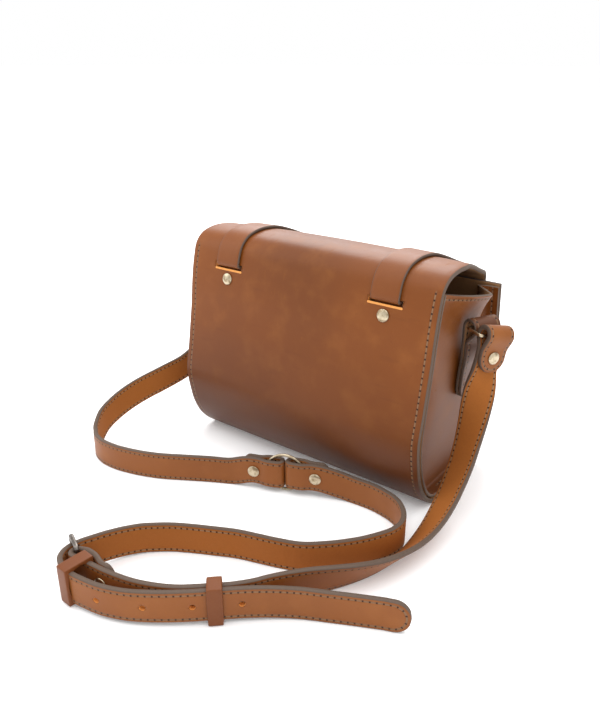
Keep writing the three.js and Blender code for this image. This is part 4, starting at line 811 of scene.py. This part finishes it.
buckle_way = (
    (-3, -215.5, 12, 0, 0, 1), (-5, -215.7, 12.1, 0, 0, 1), (-7, -215.7, 12.2, 0, 0, 1),
    (-9, -215.2, 12.3, 0, 0, 1), (-11, -214.6, 12.5, 0, 0, 1), (-13, -214.2, 12.8, 0, 0, 1),
    (-15, -214, 13.1, 0, 0, 1), (-17.5, -214, 13.1, 0, 0, 1), (-20, -214, 13.1, 0, 0, 1),
    (-23.6, -215.5, 13.1, 0, 0, 1), (-24.7, -215.9, 13.1, 0, 0, 1), (-25.6, -216.7, 13.1, 0, 0, 1),
    (-26.2, -217.8, 13.1, 0, 0, 1), (-26.3, -219, 13.1, 0, 0, 1), (-26, -220.2, 13.1, 0, 0, 1),
    (-25.2, -221.1, 13.1, 0, 0, 1), (-24.2, -221.8, 13.1, 0, 0, 1), (-23, -222, 13.1, 0, 0, 1),
    (-21.4, -221.6, 13.1, 0, 0, 1), (-19.7, -221.1, 13.1, 0, 0, 1), (-18, -220.8, 13.1, 0, 0, 1),
    (-16.1, -220.6, 13, 0, 0, 1), (-14.1, -220.5, 12.8, 0, 0, 1), (-12, -220.3, 12.6, 0, 0, 1),
    (-9.2, -219.9, 12.4, 0, 0, 1), (0.8, -218.4, 11.9, 0, 0, 1), (13.6, -215.9, 11.9, 0, 0, 1),
    (23, -213, 12, 0, 0, 1), (33.4, -208.4, 12.2, 0, 0, 1), (41.1, -203.7, 12.3, 0, 0, 1),
    (49.4, -196.8, 12.4, 0, 0, 1), (54.6, -191.8, 12.3, 0, 0, 1), (56.8, -189.8, 12.2, 0, 0, 1),
    (58.8, -187.8, 12.1, 0, 0, 1), (60.8, -185.6, 11.9, 0, 0, 1), (67, -176.5, 10.9, 0, 0, 1),
    (71.5, -168.6, 10.2, -0.04, 0.02, 1), (77.1, -159.8, 10.1, 0.03, -0.01, 1),
    (84, -150, 10.1, 0.13, -0.06, 0.99), (92.8, -139.4, 10.1, 0.25, -0.12, 0.96),
    (100.7, -128.5, 9.8, 0.38, -0.17, 0.91), (107, -117, 9.3, 0.5, -0.2, 0.84),
    (111.4, -104.5, 8.8, 0.61, -0.16, 0.78), (114.2, -91.4, 8.7, 0.69, -0.12, 0.71),
    (115.5, -78, 10.1, 0.76, -0.11, 0.64), (115.7, -64.5, 12.8, 0.81, -0.13, 0.58),
    (115.2, -51.8, 17.2, 0.84, -0.17, 0.51), (114.5, -40, 23.3, 0.87, -0.22, 0.44),
    (113.8, -29.5, 31.3, 0.91, -0.29, 0.31), (113.5, -25, 36, 0.92, -0.3, 0.24),
    (113.1, -17.9, 47.3, 0.96, -0.26, 0.12), (112.8, -12.4, 59.3, 1, -0.08, 0.03),
    (112.6, -10.1, 65.4, 0.99, 0.1, 0.02), (112.5, -8, 71.6, 0.96, 0.28, 0),
    (112.3, -5.8, 77.9, 0.85, 0.52, -0.06), (112.2, -3.8, 84.3, 0.64, 0.75, -0.14),
    (112.2, -2.1, 90.4, 0.46, 0.87, -0.19), (113.6, 0.5, 105.2, 0.46, 0.87, -0.19),
    (111.8, 3, 112.3, 0.46, 0.87, -0.19), (111.7, 3.4, 113.8, 0.46, 0.87, -0.19),
    (112, 3.6, 115.3, 0.46, 0.87, -0.19), (112.7, 3.5, 116.7, 0.46, 0.87, -0.19),
    (113.7, 3.2, 117.8, 0.46, 0.87, -0.19), (115, 2.6, 118.5, 0.46, 0.87, -0.19),
    (116.4, 2, 118.7, 0.46, 0.87, -0.19), (117.7, 1.2, 118.5, 0.46, 0.87, -0.19),
    (118.8, 0.5, 117.8, 0.46, 0.87, -0.19), (119.7, -0.2, 116.7, 0.46, 0.87, -0.19),
    (120.1, -0.8, 115.3, 0.46, 0.87, -0.19), (120.2, -1.1, 113.8, 0.46, 0.87, -0.19),
    (119.8, -1.2, 112.3, 0.46, 0.87, -0.19), (116.7, -1.2, 105.2, 0.46, 0.87, -0.19),
    (116.2, -2, 100.2, 0.46, 0.87, -0.19),
)

straps = {}
for name, way, tips, grain in (
    ("strap_left", left_way, (6, 10), 1),
    ("strap_adjust", adjust_way, (6, 9), -1),
    ("strap_buckle", buckle_way, (6, 10), -1),
):
    stations = smooth_way(way, 2.4)
    strap = leather_band(
        f"{name}_band", stations[:, :3], unit(stations[:, 3:]), strap_half, strap_thickness,
        strap_leather, edge=0.8, tip_start=tips[0], tip_end=tips[1], grain=grain,
    )
    strap.data.materials.append(cut_leather.material)
    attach(strap, "root")
    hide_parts(name)
    straps[name] = (strap, stations)

# Holes are punched through the adjusting length, six at an even pitch, behind its tip.
tip_length = 9
first_hole = 88
hole_pitch = 25.5
hole_radius = 0.0017
strap, stations = straps["strap_adjust"]
runs = along_of(stations[:, :3])
hole_tools = []
for number in range(6):
    run = runs[-1] + tip_length - first_hole - hole_pitch * number
    centre = np.array([np.interp(run, runs, stations[:, k]) for k in range(3)])
    ahead = np.array([np.interp(run + 1, runs, stations[:, k]) for k in range(3)]) - centre
    across = np.array([np.interp(run, runs, stations[:, k]) for k in range(3, 6)])
    through = unit(np.cross(ahead, across))
    bpy.ops.mesh.primitive_cylinder_add(
        vertices=24, radius=hole_radius, depth=0.012, location=centre / 1000,
        rotation=(math.pi / 2, 0, math.atan2(through[1], through[0]) + math.pi / 2),
    )
    hole_tools.append(bpy.context.object)
cut_from(strap, hole_tools)


# Buckle: a cast frame and a prong in dark nickel. The strap's fold holds it by the hinge
# bar, and the prong goes through a hole of the adjusting length and lies on the far bar.
for node in ("buckle_frame", "buckle_prong"):
    cast = smooth_copy(node, f"{node}_cast", steel, 2, 0.0003, 50)

# Keepers: narrow bands of belt leather, closed round the doubled strap, their edges
# rubbed. One is fixed beside the buckle and one slides along to hold the free end.
keeper_leather = leather(
    "keeper_leather", (0.175, 0.048, 0.009, 1), (0.1, 0.026, 0.005, 1), (0.25, 0.088, 0.026, 1),
)
for node in ("keeper_fixed", "keeper_sliding"):
    keeper = smooth_copy(node, f"{node}_band", keeper_leather, 2, 0.0009, 50)
